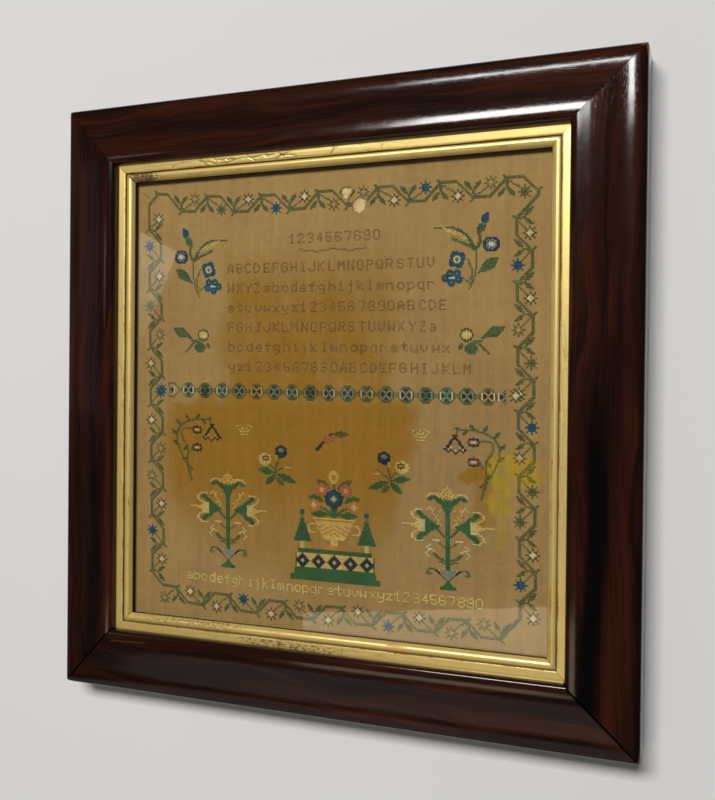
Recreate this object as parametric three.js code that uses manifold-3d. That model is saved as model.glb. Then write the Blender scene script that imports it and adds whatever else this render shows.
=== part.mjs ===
// A needlework sampler in its frame: four mitred rails of a dark polished ogee
// moulding, four gilt slips round the sight, a glass, the stretched cloth, and the
// pale board that backs it. The frame lies on its back, with the glass facing up.
//
// Millimetres. +Z is up, out of the glass, +X to the right of the picture and +Y to
// its top. The origin is the middle of the back, on the surface that it lies on.
//
// Depths are given as heights towards the viewer from the plane of the slips' face.
// A section is drawn in (s, h): s runs inward from the frame's outer edge. The pieces
// are built upright round the middle of the frame, and laid down together at the end.

import * as THREE from 'three';
import { mergeVertices } from 'three/addons/utils/BufferGeometryUtils.js';
import Module from 'manifold-3d';

// Frame
const FRAME_WIDTH = 550;
const FRAME_HEIGHT = 566;
const RAIL_WIDTH = 59;
const BACK_H = -37;            // the rails' back face
const ARRIS_H = -2.4;          // where the flat outer side meets the moulded face
const SHOULDER_H = 2.4;        // the outer roll, a shoulder that still rises inwards
const HOLLOW_H = 4.4;          // where the hollow above the shoulder turns into the inner roll
const INNER_CREST_H = 9.5;     // the inner roll's crest, the frame's foremost line
const LIP_H = 0.3;             // underside of the lip that covers the slip's edge
const LIP_WIDTH = 6;

// Worn round of each outer corner
const CORNER_RADII = { bottomLeft: 7, bottomRight: 4, topRight: 2.5, topLeft: 4.5 };

// How far each corner's mitre stands open, measured square to the joint
const MITRE_GAPS = { bottomLeft: 0.8, bottomRight: 0.9, topRight: 0.35, topLeft: 0.3 };

// Gilt slip
const SLIP_WIDTH = 15.7;       // the part that shows
const SLIP_BACK_H = -8.4;
const SLIP_MITRE_GAP = 0.3;
const CLEARANCE = 0.3;         // between pieces that rest on each other

// What lies in the rabbet
const RABBET_PLAY = 0.5;
const GLASS_THICKNESS = 2;
const CLOTH_THICKNESS = 1.2;
const CLOTH_SWELL = 0.3;       // how far the cloth waves either way
const CLOTH_CELLS = 26;
const WAVE = { across: 47, down: 61, start: 0.6 };
const PUCKER = { across: 7.5, middle: 24, spread: 1800, fade: 45 };
const BOARD_THICKNESS = 5;

const CURVE_STEPS = 7;
const CORNER_STEPS = 5;

// Torn places in the cloth, near its top edge: centre from the sight's top middle,
// and corners round that centre.
const TEARS = [
  {
    x: 17.5,
    drop: 24,
    corners: [[-5, 4.5], [-1.5, 6], [4.5, 5], [4.8, 1], [1, -5.5], [-3.5, -3]],
  },
  {
    x: 30,
    drop: 35,
    corners: [[-6.5, 3.5], [-0.5, 7.5], [6.5, 4.5], [5, -4], [0.5, -7.5], [-5.5, -4.5]],
  },
];
const TEAR_CUT_DEPTH = 40;

const wasm = await Module();
wasm.setup();

function toManifold(geometry) {
  const bare = geometry.clone();
  bare.deleteAttribute('normal');
  bare.deleteAttribute('uv');
  const merged = mergeVertices(bare, 1e-3);
  return new wasm.Manifold(new wasm.Mesh({
    numProp: 3,
    vertProperties: new Float32Array(merged.attributes.position.array),
    triVerts: new Uint32Array(merged.index.array),
  }));
}

function toGeometry(solid) {
  const mesh = solid.getMesh();
  const geometry = new THREE.BufferGeometry();
  geometry.setAttribute('position', new THREE.BufferAttribute(mesh.vertProperties, 3));
  geometry.setIndex(new THREE.BufferAttribute(mesh.triVerts, 1));
  geometry.computeVertexNormals();
  return geometry;
}

function finish(color, roughness, metalness) {
  return new THREE.MeshStandardMaterial({ color, roughness, metalness });
}

// An ogee: a round arris, a shoulder that still rises, a hollow, and the large inner roll
// that drops to the slip. The rabbet behind is open at the back.
function railSection() {
  const section = new THREE.Shape();
  section.moveTo(0, BACK_H);
  section.lineTo(0, ARRIS_H);
  section.quadraticCurveTo(0.1, ARRIS_H + 1.1, 0.9, ARRIS_H + 1.8);
  section.bezierCurveTo(2.6, 1.2, 5.5, SHOULDER_H - 1, 13.5, SHOULDER_H);
  section.bezierCurveTo(17.5, SHOULDER_H + 0.5, 19, HOLLOW_H - 1.1, 21.5, HOLLOW_H);
  section.quadraticCurveTo(33, INNER_CREST_H, 46, INNER_CREST_H);
  section.bezierCurveTo(53, INNER_CREST_H, 58.4, 7.2, RAIL_WIDTH, 1.8);
  section.lineTo(RAIL_WIDTH, LIP_H);
  section.lineTo(RAIL_WIDTH - LIP_WIDTH, LIP_H);
  section.lineTo(RAIL_WIDTH - LIP_WIDTH, BACK_H);
  section.closePath();
  return section;
}

// A flat fillet, a narrow groove, a small step and a bead that falls to the sight.
function slipSection() {
  const outer = RAIL_WIDTH - LIP_WIDTH + CLEARANCE;
  const sight = RAIL_WIDTH + SLIP_WIDTH;
  const section = new THREE.Shape();
  section.moveTo(outer, SLIP_BACK_H);
  section.lineTo(outer, 0);
  section.lineTo(RAIL_WIDTH + 6.9, -1.1);
  section.lineTo(RAIL_WIDTH + 7.3, -3.2);
  section.lineTo(RAIL_WIDTH + 8.4, -3.3);
  section.lineTo(RAIL_WIDTH + 8.5, -2.6);
  section.lineTo(RAIL_WIDTH + 9.1, -2.6);
  section.bezierCurveTo(RAIL_WIDTH + 10.6, -1.5, RAIL_WIDTH + 12.6, -1.6, RAIL_WIDTH + 14.2, -3.2);
  section.bezierCurveTo(RAIL_WIDTH + 15.2, -4.2, sight, -5.2, sight, -6.6);
  section.lineTo(sight, SLIP_BACK_H);
  section.closePath();
  return section;
}

// The four places round the frame: the outline's length and half depth as seen from
// that side, the turn that brings the bottom place there, and its two corners.
const PLACES = [
  {
    name: 'bottom', length: FRAME_WIDTH, half: FRAME_HEIGHT / 2, turn: 0,
    start: 'bottomLeft', end: 'bottomRight',
  },
  {
    name: 'left', length: FRAME_HEIGHT, half: FRAME_WIDTH / 2, turn: Math.PI / 2,
    start: 'topLeft', end: 'bottomLeft',
  },
  {
    name: 'top', length: FRAME_WIDTH, half: FRAME_HEIGHT / 2, turn: Math.PI,
    start: 'topRight', end: 'topLeft',
  },
  {
    name: 'right', length: FRAME_HEIGHT, half: FRAME_WIDTH / 2, turn: -Math.PI / 2,
    start: 'bottomRight', end: 'topRight',
  },
];

// Carries a section along a straight member and shears both ends to 45 degrees.
// The result lies along X as the bottom member does, with the frame's middle at 0.
function mitredMember(section, place, startGap, endGap) {
  const options = { depth: 1, steps: 1, bevelEnabled: false, curveSegments: CURVE_STEPS };
  const geometry = new THREE.ExtrudeGeometry(section, options);
  const position = geometry.attributes.position;
  for (let i = 0; i < position.count; i += 1) {
    const s = position.getX(i);
    const h = position.getY(i);
    const atEnd = position.getZ(i) > 0.5;
    const reach = place.length / 2 - s - (atEnd ? endGap : startGap) * Math.SQRT1_2;
    position.setXYZ(i, atEnd ? reach : -reach, -h, s - place.half);
  }
  return geometry;
}

// A block whose outer side has the worn corners of one place, and which is larger than
// its member everywhere else.
function cornerBlock(place) {
  const shape = new THREE.Shape();
  const a = place.length / 2;
  const front = -place.half;
  const startRadius = CORNER_RADII[place.start];
  const endRadius = CORNER_RADII[place.end];
  shape.moveTo(-a + startRadius, front);
  shape.lineTo(a - endRadius, front);
  shape.absarc(a - endRadius, front + endRadius, endRadius, -Math.PI / 2, 0, false);
  shape.lineTo(a, 0);
  shape.lineTo(-a, 0);
  shape.absarc(-a + startRadius, front + startRadius, startRadius, Math.PI, Math.PI * 1.5, false);
  const spare = 2;
  const depth = INNER_CREST_H - BACK_H + 2 * spare;
  const block = new THREE.ExtrudeGeometry(shape, {
    depth, bevelEnabled: false, curveSegments: CORNER_STEPS,
  });
  block.rotateX(Math.PI / 2);
  block.translate(0, -BACK_H + spare, 0);
  return block;
}

function rail(place) {
  const startGap = MITRE_GAPS[place.start];
  const endGap = MITRE_GAPS[place.end];
  const member = toManifold(mitredMember(railSection(), place, startGap, endGap));
  const outline = toManifold(cornerBlock(place));
  const mesh = new THREE.Mesh(toGeometry(member.intersect(outline)), finish(0x2a120c, 0.28, 0));
  mesh.name = `rail_${place.name}`;
  mesh.rotation.y = place.turn;
  return mesh;
}

function slip(place) {
  const geometry = mitredMember(slipSection(), place, SLIP_MITRE_GAP, SLIP_MITRE_GAP);
  const mesh = new THREE.Mesh(geometry, finish(0xc2a25c, 0.35, 0.6));
  mesh.name = `slip_${place.name}`;
  mesh.rotation.y = place.turn;
  return mesh;
}

// Size of a piece that lies in the rabbet with a little play all round.
const FILL_WIDTH = FRAME_WIDTH - 2 * (RAIL_WIDTH - LIP_WIDTH + RABBET_PLAY);
const FILL_HEIGHT = FRAME_HEIGHT - 2 * (RAIL_WIDTH - LIP_WIDTH + RABBET_PLAY);

// The depths of the layers, from the slip's back to the board.
const GLASS_FRONT_H = SLIP_BACK_H - CLEARANCE;
const CLOTH_FRONT_H = GLASS_FRONT_H - GLASS_THICKNESS - CLEARANCE - CLOTH_SWELL;
const BOARD_FRONT_H = CLOTH_FRONT_H - CLOTH_THICKNESS - CLOTH_SWELL - CLEARANCE;

function flatPane(name, frontH, thickness, material) {
  const geometry = new THREE.BoxGeometry(FILL_WIDTH, thickness, FILL_HEIGHT);
  const mesh = new THREE.Mesh(geometry, material);
  mesh.name = name;
  mesh.position.y = -frontH + thickness / 2;
  return mesh;
}

// Slight waves of the stretched cloth, strongest as short puckers under the top edge.
function clothWave(x, z) {
  const slow = Math.sin(x / WAVE.across + WAVE.start) * Math.cos(z / WAVE.down);
  const drop = FILL_HEIGHT / 2 - z;
  const near = Math.exp(-((x - PUCKER.middle) ** 2) / PUCKER.spread) * Math.exp(-drop / PUCKER.fade);
  const pucker = Math.sin(x / PUCKER.across) * near;
  return CLOTH_SWELL * (slow + pucker) / 2;
}

function tearCutter(tear) {
  const topOfSight = FRAME_HEIGHT / 2 - RAIL_WIDTH - SLIP_WIDTH;
  const corners = tear.corners.map(([x, z]) => new THREE.Vector2(tear.x + x, topOfSight - tear.drop + z));
  const outline = new THREE.Shape(corners);
  const prism = new THREE.ExtrudeGeometry(outline, { depth: TEAR_CUT_DEPTH, bevelEnabled: false });
  prism.rotateX(Math.PI / 2);
  prism.translate(0, TEAR_CUT_DEPTH * 0.75, 0);
  return toManifold(prism);
}

function cloth() {
  const sheet = new THREE.BoxGeometry(
    FILL_WIDTH, CLOTH_THICKNESS, FILL_HEIGHT, CLOTH_CELLS, 1, CLOTH_CELLS,
  );
  const position = sheet.attributes.position;
  const middle = -CLOTH_FRONT_H + CLOTH_THICKNESS / 2;
  for (let i = 0; i < position.count; i += 1) {
    const wave = clothWave(position.getX(i), position.getZ(i));
    position.setY(i, position.getY(i) + middle + wave);
  }
  const torn = TEARS.reduce((solid, tear) => solid.subtract(tearCutter(tear)), toManifold(sheet));
  const mesh = new THREE.Mesh(toGeometry(torn), finish(0xa08250, 0.95, 0));
  mesh.name = 'cloth';
  return mesh;
}

const framed = new THREE.Group();
for (const place of PLACES) {
  framed.add(rail(place));
}
for (const place of PLACES) {
  framed.add(slip(place));
}
framed.add(flatPane('glass', GLASS_FRONT_H, GLASS_THICKNESS, finish(0xdfe6e2, 0.05, 0)));
framed.add(cloth());
framed.add(flatPane('backing_board', BOARD_FRONT_H, BOARD_THICKNESS, finish(0xc9a878, 0.8, 0)));

// Lay the frame on its back, with the rails' back face on the surface.
framed.rotation.x = -Math.PI / 2;
framed.position.z = -BACK_H;

const sampler = new THREE.Group();
sampler.add(framed);

export default sampler;
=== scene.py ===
"""A cross stitch sampler behind glass, in a dark ogee frame with a gilt slip.

Laid out as an add-on and run as a script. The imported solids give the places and
the main sizes. Rails, slips, cloth and stitches are worked out here as surfaces,
and the glass and the board keep their solids under a better finish.

Metres. +Z is up out of the glass, +X to the right of the sampler, +Y to its top.
Counted designs are in stitches, from the middle of the cloth.
"""

import math

import bmesh
import bpy
import numpy as np
from mathutils import Matrix, Vector


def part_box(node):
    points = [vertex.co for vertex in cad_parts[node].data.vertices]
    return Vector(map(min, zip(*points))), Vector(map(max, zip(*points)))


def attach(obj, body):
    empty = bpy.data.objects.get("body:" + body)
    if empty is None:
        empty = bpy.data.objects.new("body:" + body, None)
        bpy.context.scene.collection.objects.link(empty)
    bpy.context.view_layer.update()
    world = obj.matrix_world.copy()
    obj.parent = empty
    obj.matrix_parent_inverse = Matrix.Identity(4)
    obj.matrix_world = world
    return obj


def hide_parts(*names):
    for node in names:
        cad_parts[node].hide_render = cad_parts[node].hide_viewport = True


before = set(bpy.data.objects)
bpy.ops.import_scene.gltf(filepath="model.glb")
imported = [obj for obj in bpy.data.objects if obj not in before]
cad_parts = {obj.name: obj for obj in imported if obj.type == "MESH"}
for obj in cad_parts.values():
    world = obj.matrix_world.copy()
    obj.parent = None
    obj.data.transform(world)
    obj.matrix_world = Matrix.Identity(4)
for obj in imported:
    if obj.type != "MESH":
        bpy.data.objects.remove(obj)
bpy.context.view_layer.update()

bl_info = {
    "name": "Framed Cross Stitch Sampler",
    "version": (1, 0, 0),
    "blender": (4, 5, 0),
    "location": "3D View > Sidebar > Sampler",
    "description": "Dresses the framed sampler: moulding, gilt, glass, cloth and stitches",
    "category": "Object",
}

MM = 0.001
BODY = "root"

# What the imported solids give
RAIL_LOW, RAIL_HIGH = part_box("rail_top")
SLIP_LOW, SLIP_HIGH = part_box("slip_top")
CLOTH_LOW, CLOTH_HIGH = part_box("cloth")
HALF_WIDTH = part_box("rail_right")[1].x
HALF_HEIGHT = RAIL_HIGH.y
RAIL_WIDTH = RAIL_HIGH.y - RAIL_LOW.y
FACE_Z = SLIP_HIGH.z  # the plane of the slips' face, from which heights h are told
SIGHT_TOP = SLIP_LOW.y
CLOTH_SOLID = 1.2 * MM  # how thick the cloth's solid is
SWELL = (CLOTH_HIGH.z - CLOTH_LOW.z - CLOTH_SOLID) / 2  # how far the cloth waves either way


# ---- sizes and colours

def length(name, default, text, most=1.0):
    return bpy.props.FloatProperty(
        name=name, default=default, min=0.0, max=most, description=text,
        subtype="DISTANCE", unit="LENGTH", precision=5,
    )


def linear(tone):
    """A colour given as three numbers up to 255, as light: the usual display curve undone."""
    share = np.asarray(tone, float) / 255
    return np.where(share <= 0.04045, share / 12.92, ((share + 0.055) / 1.055) ** 2.4)


def colour(name, tone, text):
    return bpy.props.FloatVectorProperty(
        name=name, default=tuple(float(c) for c in linear(tone)), size=3, min=0.0, max=1.0,
        subtype="COLOR", description=text,
    )


class SamplerMoulding(bpy.types.PropertyGroup):
    """Sizes and colours of the rails and the slips."""

    slip_gap: length("Slip gap", 0.3 * MM, "Joint between two slips")
    unevenness: length("Unevenness", 0.10 * MM, "How far a hand-run face strays")
    wood_dark: colour("Dark wood", (20, 7, 4), "Ground of the veneer")
    wood_red: colour("Red wood", (68, 29, 14), "Figure of the veneer")
    wood_worn: colour("Worn wood", (98, 64, 42), "Arrises and corners rubbed bare")
    gold: colour("Gold", (238, 210, 130), "Gold leaf")
    gold_rubbed: colour("Rubbed gold", (150, 104, 42), "Leaf rubbed to the ground")
    # Also paints the shadow under the rails' lip and the shade on the sight walls, besides the
    # darker grooves
    gold_groove_and_shade: colour("Groove", (74, 52, 16), "Dirt in the grooves")


for corner, worn, gap in (  # in millimetres
    ("bottom left", 7.0, 1.1), ("bottom right", 4.0, 1.3),
    ("top right", 2.5, 0.35), ("top left", 4.5, 0.3),
):
    for kind, size, text in (("round", worn, "How far that corner is worn round"),
                             ("gap", gap, "How far that mitre stands open")):
        SamplerMoulding.__annotations__[f"{kind} {corner}".replace(" ", "_")] = length(
            f"{kind.capitalize()}, {corner}", size * MM, text)


class SamplerCloth(bpy.types.PropertyGroup):
    """Sizes and colours of the cloth and of what backs it."""

    thickness: length("Thickness", 0.8 * MM, "Of the stretched cloth")
    face: length("Face", 25.05 * MM, "Height of the cloth's front at rest")
    cell: length("Cell", 4.0 * MM, "Grid of the cloth away from the tears")
    fine_cell: length("Fine cell", 0.85 * MM, "Grid of the cloth round the tears")
    thread: length("Thread pitch", 0.65 * MM, "From one thread of the weave to the next")
    ground: colour("Ground", (170, 138, 84), "Unbleached cloth, toned by age")
    stain: colour("Stain", (152, 110, 34), "The large brown water stain")
    yellow: colour("Yellow stain", (178, 148, 30), "The small stain at the right")
    board: colour("Board", (222, 200, 146), "Backing that shows through the tears")


class SamplerStitches(bpy.types.PropertyGroup):
    """Sizes and thread colours of the cross stitch."""

    pitch: length("Stitch", 1.3 * MM, "From one cross to the next")
    rise: length("Rise", 0.44 * MM, "How far a cross stands off the cloth")
    girth: length("Thread width", 0.84 * MM, "Width of one leg of a cross")


THREADS = {
    "vine": ((112, 114, 72), "Grey-green of the border's stem"),
    "leaf": ((98, 108, 62), "Green of the border's leaves"),
    "green": ((54, 112, 66), "Strong green of the plants"),
    "moss": ((104, 112, 66), "Faded green"),
    "sage": ((80, 110, 66), "Soft green of leaves"),
    "blue": ((10, 88, 122), "Blue of the flowers"),
    "navy": ((14, 42, 72), "Dark blue"),
    "mist": ((146, 158, 140), "Grey-blue"),
    "white": ((236, 232, 214), "White of the pots"),
    "teal": ((24, 88, 92), "Blue-green"),
    "ink": ((24, 26, 30), "Near black of outlines"),
    "cream": ((242, 228, 180), "Cream, the palest thread"),
    "straw": ((240, 214, 128), "Straw yellow"),
    "yellow": ((226, 186, 52), "Bright yellow"),
    "orange": ((222, 150, 66), "Faded orange"),
    "pink": ((206, 130, 96), "Faded pink"),
    "tan": ((190, 158, 100), "Tan, little different from the cloth"),
    "olive": ((92, 82, 42), "Olive of the flowers' rays"),
    "brown": ((164, 130, 74), "Brown of the lettered rows"),
}
SamplerStitches.__annotations__.update(
    {name: colour(name.capitalize(), tone, text) for name, (tone, text) in THREADS.items()}
)

# Tones of wear and dirt, which stay as they are
TONES = {name: linear(tone) for name, tone in {
    "pale leaf": (226, 186, 104), "speck": (70, 46, 18), "tarnish": (58, 44, 18),
    "crack": (58, 38, 14), "patch of the board": (178, 140, 84), "fibre": (120, 88, 48),
    "patch of the cloth": (150, 116, 74), "loose thread": (52, 40, 24),
    "stained thread": (222, 196, 148),
}.items()}
# The last of these is painted shade: near black on the slips' sight walls, for the shaded recess
# down to the cloth
JOINT_BLACK, PORE_BLACK, SIGHT_WALL_SHADE = (
    (0.0012, 0.0006, 0.0006), (0.002, 0.001, 0.001), (0.004, 0.003, 0.002))  # already as light


class SamplerStage(bpy.types.PropertyGroup):
    """The floor and the camera."""

    floor_radius: length("Floor radius", 4.0, "Of the round floor", most=20.0)
    floor: colour("Floor", (240, 240, 241), "Pale floor")
    camera_place: bpy.props.FloatVectorProperty(
        name="Camera", default=(0.3298, 0.0079, 0.7942), size=3, subtype="XYZ", unit="LENGTH",
        description="Where the camera stands",
    )
    camera_turn: bpy.props.FloatVectorProperty(
        name="Turn", default=tuple(math.radians(a) for a in (-0.501, -0.549, 21.303)), size=3,
        subtype="EULER", unit="ROTATION", description="Pitch, roll and yaw from square on",
    )
    lens: bpy.props.FloatProperty(
        name="Lens", default=41.85, min=10, max=200, description="Focal length in millimetres",
    )


# ---- meshes

def piece_from(name, points, faces, material, stands_for=(), crease=None):
    """A new piece of the object: points (n, 3) in metres, faces as rows of point numbers."""
    mesh = bpy.data.meshes.new(name)
    mesh.from_pydata(np.asarray(points, float).reshape(-1, 3).tolist(), [], faces)
    mesh.materials.append(material)
    mesh.polygons.foreach_set("use_smooth", np.ones(len(mesh.polygons), bool))
    if crease is not None:
        mesh.set_sharp_from_angle(angle=math.radians(crease))
    mesh.update()
    if mesh.validate(verbose=False):
        raise RuntimeError(f"{name} had faces that Blender had to mend")
    piece = bpy.data.objects.new(name, mesh)
    bpy.context.scene.collection.objects.link(piece)
    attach(piece, BODY)
    if stands_for:
        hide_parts(*stands_for)
    return piece


def turn_outwards(mesh):
    """All faces of a closed mesh point outwards."""
    shell = bmesh.new()
    shell.from_mesh(mesh)
    bmesh.ops.recalc_face_normals(shell, faces=shell.faces)
    shell.to_mesh(mesh)
    shell.free()


def attributes(mesh, **fields):
    """Values at every point under their names, for the material to read: numbers, or colours."""
    for name, values in fields.items():
        values = np.asarray(values, np.float32)
        one_each = values.size == len(mesh.vertices)
        layer = mesh.attributes.new(name, "FLOAT" if one_each else "FLOAT_COLOR", "POINT")
        layer.data.foreach_set("value" if one_each else "color", values.ravel())


def grid_faces(rows, columns, closed=False):
    """Quads of a grid of rows x columns points. closed joins the last column to the first."""
    row, column = np.mgrid[0 : rows - 1, 0 : columns - (0 if closed else 1)]
    after = (column + 1) % columns
    corners = (row * columns + column, row * columns + after,
               (row + 1) * columns + after, (row + 1) * columns + column)
    return np.stack([c.ravel() for c in corners], axis=1)


def smooth_step(value, low, high):
    """0 below low, 1 above high, and an even ease between."""
    share = np.clip((value - low) / (high - low), 0, 1)
    return share * share * (3 - 2 * share)


def hump(value, middle, wide, power=2):
    """1 at the middle, falling away on both sides as exp(-(distance / wide) ^ power)."""
    return np.exp(-(((value - middle) / wide) ** power))


# ---- node expressions

def maths(operation, turned=False):
    """A method of Value that adds one Math node. turned puts the value itself last."""
    def method(self, *others):
        terms = (*others, self) if turned else (self, *others)
        return self.look.node("ShaderNodeMath", {"operation": operation}, dict(enumerate(terms)))
    return method


class Value:
    """One output of a shader node. Expressions on it add the Math nodes that work them out."""

    def __init__(self, look, socket):
        self.look, self.socket = look, socket

    __add__, __radd__ = maths("ADD"), maths("ADD", turned=True)
    __sub__, __rsub__ = maths("SUBTRACT"), maths("SUBTRACT", turned=True)
    __mul__, __truediv__ = maths("MULTIPLY"), maths("DIVIDE")
    sine, size, most, least = (maths(name) for name in ("SINE", "ABSOLUTE", "MAXIMUM", "MINIMUM"))

    def ease(self, low, high):
        """0 at low and 1 at high, eased. low may be the greater."""
        if low > high:
            return 1 - self.ease(high, low)
        return self.look.node(
            "ShaderNodeMapRange", {"interpolation_type": "SMOOTHSTEP"},
            {"Value": self, "From Min": low, "From Max": high},
        )


class Look:
    """A material with one Principled shader, whose patterns are built by node()."""

    def __init__(self, name):
        self.material = bpy.data.materials.new(name)
        self.material.use_nodes = True
        self.tree = self.material.node_tree
        self.tree.nodes.clear()
        self.shader = self.tree.nodes.new("ShaderNodeBsdfPrincipled")
        output = self.tree.nodes.new("ShaderNodeOutputMaterial")
        self.tree.links.new(self.shader.outputs["BSDF"], output.inputs["Surface"])

    def put(self, socket, value):
        """Links a Value to a socket, or sets a number, a vector or a colour on it."""
        if isinstance(value, Value):
            self.tree.links.new(value.socket, socket)
        elif hasattr(value, "__len__"):
            parts = [float(part) for part in value]
            socket.default_value = parts + [1.0] * (len(socket.default_value) - len(parts))
        else:
            socket.default_value = value

    def node(self, kind, settings=None, sockets=None, output=0):
        """A node of any kind. Its settings are set first, then its sockets set or linked."""
        node = self.tree.nodes.new(kind)
        for key, value in (settings or {}).items():
            setattr(node, key, value)
        for key, value in (sockets or {}).items():
            self.put(node.inputs[key], value)
        return Value(self, node.outputs[output])

    def finish(self, **sockets):
        """Puts values or patterns on the shader's own sockets, with _ for a space."""
        for key, value in sockets.items():
            self.put(self.shader.inputs[key.replace("_", " ")], value)
        return self.material

    def place(self):
        """The point's place on the object, as a vector in metres."""
        return self.node("ShaderNodeTexCoord", output="Object")

    def parts(self, vector):
        """x, y and z of a vector."""
        node = self.node("ShaderNodeSeparateXYZ", None, {0: vector}).socket.node
        return [Value(self, out) for out in node.outputs]

    def grain(self):
        """The ways along a side and round its profile, from the UV map of that name."""
        return self.parts(self.node("ShaderNodeUVMap", {"uv_map": "grain"}))[:2]

    def field(self, name, output="Fac"):
        """A value stored at the piece's points."""
        return self.node("ShaderNodeAttribute", {"attribute_name": name}, output=output)

    def noise(self, vector, scale=1.0, detail=3.0, rough=0.55, bend=0.0):
        """A cloudy pattern. vector may be two values, across and up."""
        if isinstance(vector, tuple):
            vector = self.node("ShaderNodeCombineXYZ", None, dict(zip("XY", vector)))
        return self.node(
            "ShaderNodeTexNoise", None,
            {"Vector": vector, "Scale": scale, "Detail": detail, "Roughness": rough,
             "Distortion": bend},
        )

    def blend(self, factor, first, second, how="MIX"):
        """Two colours mixed: inputs 6 and 7 of a Mix node are its colours, and output 2."""
        return self.node(
            "ShaderNodeMix", {"data_type": "RGBA", "blend_type": how},
            {0: factor, 6: first, 7: second}, output=2,
        )

    def layers(self, ground, *coats):
        """A ground colour under coats of (how much, colour), each over the last."""
        for amount, tone in coats:
            ground = self.blend(amount, ground, tone)
        return ground

    def shaded(self, tone, shade):
        """A colour times a grey."""
        grey = self.node("ShaderNodeCombineXYZ", None, dict.fromkeys("XYZ", shade))
        return self.blend(1.0, tone, grey, "MULTIPLY")

    def bump(self, height, depth, strength=1.0, under=None):
        """Relief of that height pattern, depth metres from low to high."""
        sockets = {"Height": height, "Distance": depth, "Strength": strength}
        if under is not None:
            sockets["Normal"] = under
        return self.node("ShaderNodeBump", None, sockets)


# ---- the moulding

def bent(points, steps):
    """A stretch of outline: a line, or a curve of second or third order through its handles,
    as the sum of the handles times the binomial weights of t. The last point is left out."""
    order = len(points) - 1
    t = np.linspace(0, 1, steps + 1)[:-1]
    return sum(
        np.outer(math.comb(order, k) * t ** k * (1 - t) ** (order - k), point)
        for k, point in enumerate(np.asarray(points, float))
    )


def outline(start, *stretches):
    """A section in (s, h) as stretches of (steps, further handles), each from the last's end."""
    parts = []
    for steps, *handles in stretches:
        parts.append(bent([start, *handles], steps))
        start = handles[-1]
    return np.concatenate(parts)


RAIL_TURNS = (  # s in mm, and the slope of the face there in degrees
    (0.9, 42), (2.5, 25), (5, 15.5), (9, 9.5), (12.3, 5.2), (16, 9.5), (21, 13), (36, 12.8),
    (42, 10.8), (45.3, 7), (50, 0), (53.5, -9), (56, -18), (57.2, -45), (58.2, -68), (59, -84),
)
RAIL_LIP = 6.0  # how far the rail reaches over the slip's rabbet, in mm


def rail_section():
    """An ogee over a rabbet. s runs inward from the outer edge. The face is told by its slope:
    a round arris, a shoulder that is never quite level, a steady rise, and the large inner
    roll that drops to the slip. h is the sum of tan(slope) ds, scaled to reach the crest."""
    back = -FACE_Z / MM
    width = RAIL_WIDTH / MM
    crest = (RAIL_HIGH.z - FACE_Z) / MM
    arris = (0.9, -0.6)
    turns = np.array(RAIL_TURNS)
    s = np.interp(np.linspace(0, len(turns) - 1, 4 * len(turns) - 3), np.arange(len(turns)),
                  turns[:, 0])
    tangent = np.tan(np.radians(np.interp(s, *turns.T)))
    h = np.concatenate([[0], np.cumsum(np.diff(s) * (tangent[1:] + tangent[:-1]) / 2)])
    h = arris[1] + h * (crest - arris[1]) / h.max()
    rabbet = width - RAIL_LIP
    return np.concatenate([
        outline((0, back), (8, (0, -2.4)), (4, (0.1, -1.3), arris)),
        np.stack([s * width / turns[-1, 0], h], axis=-1),
        outline((width, 1.4), (2, (width, 0.3)), (2, (rabbet, 0.3)), (6, (rabbet, back)),
                (6, (0, back))),
    ])


def slip_section():
    """A flat fillet, a narrow groove, a small step, and a bead that falls to the sight."""
    width = RAIL_WIDTH / MM
    sight = (HALF_HEIGHT - SIGHT_TOP) / MM
    outer = (HALF_HEIGHT - SLIP_HIGH.y) / MM
    back = (SLIP_LOW.z - FACE_Z) / MM
    shaped = (  # steps, then handles in mm from the rail's inner edge
        (8, (6.7, -1.04)), (3, (7.1, -1.15), (7.15, -1.6)), (3, (7.25, -2.7), (7.6, -2.7)),
        (3, (7.95, -2.7), (8.1, -2.15)), (12, (9.6, -0.9), (12.4, -1.0), (14.1, -3.0)),
        (7, (15.1, -4.2), (sight - width, -5.2), (sight - width, -6.6)),
    )
    return outline(
        (outer, back), (3, (outer, 0)),
        *((steps, *((width + s, h) for s, h in handles)) for steps, *handles in shaped),
        (2, (sight, back)), (5, (outer, back)),
    )


def stations(length, bend_length, cuts=74, clear=2.4):
    """Where a member is cut across, as shares from -1 to 1: close together near its ends, and
    then evenly, from clear times as far in."""
    near = np.array([0.0, 0.25, 0.5, 0.8, 1.15, 1.6]) * bend_length * 2 / length
    middle = np.linspace(-1 + clear * near[-1], 1 - clear * near[-1], cuts)
    return np.concatenate([-1 + near, middle, (1 - near)[::-1]])


# A hand-run face strays as the mean of sines along the side: their paces along and across
WANDER = ((23, 30), (41, -60), (67, 90), (111, 200), (173, -150), (260, 320))


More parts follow.
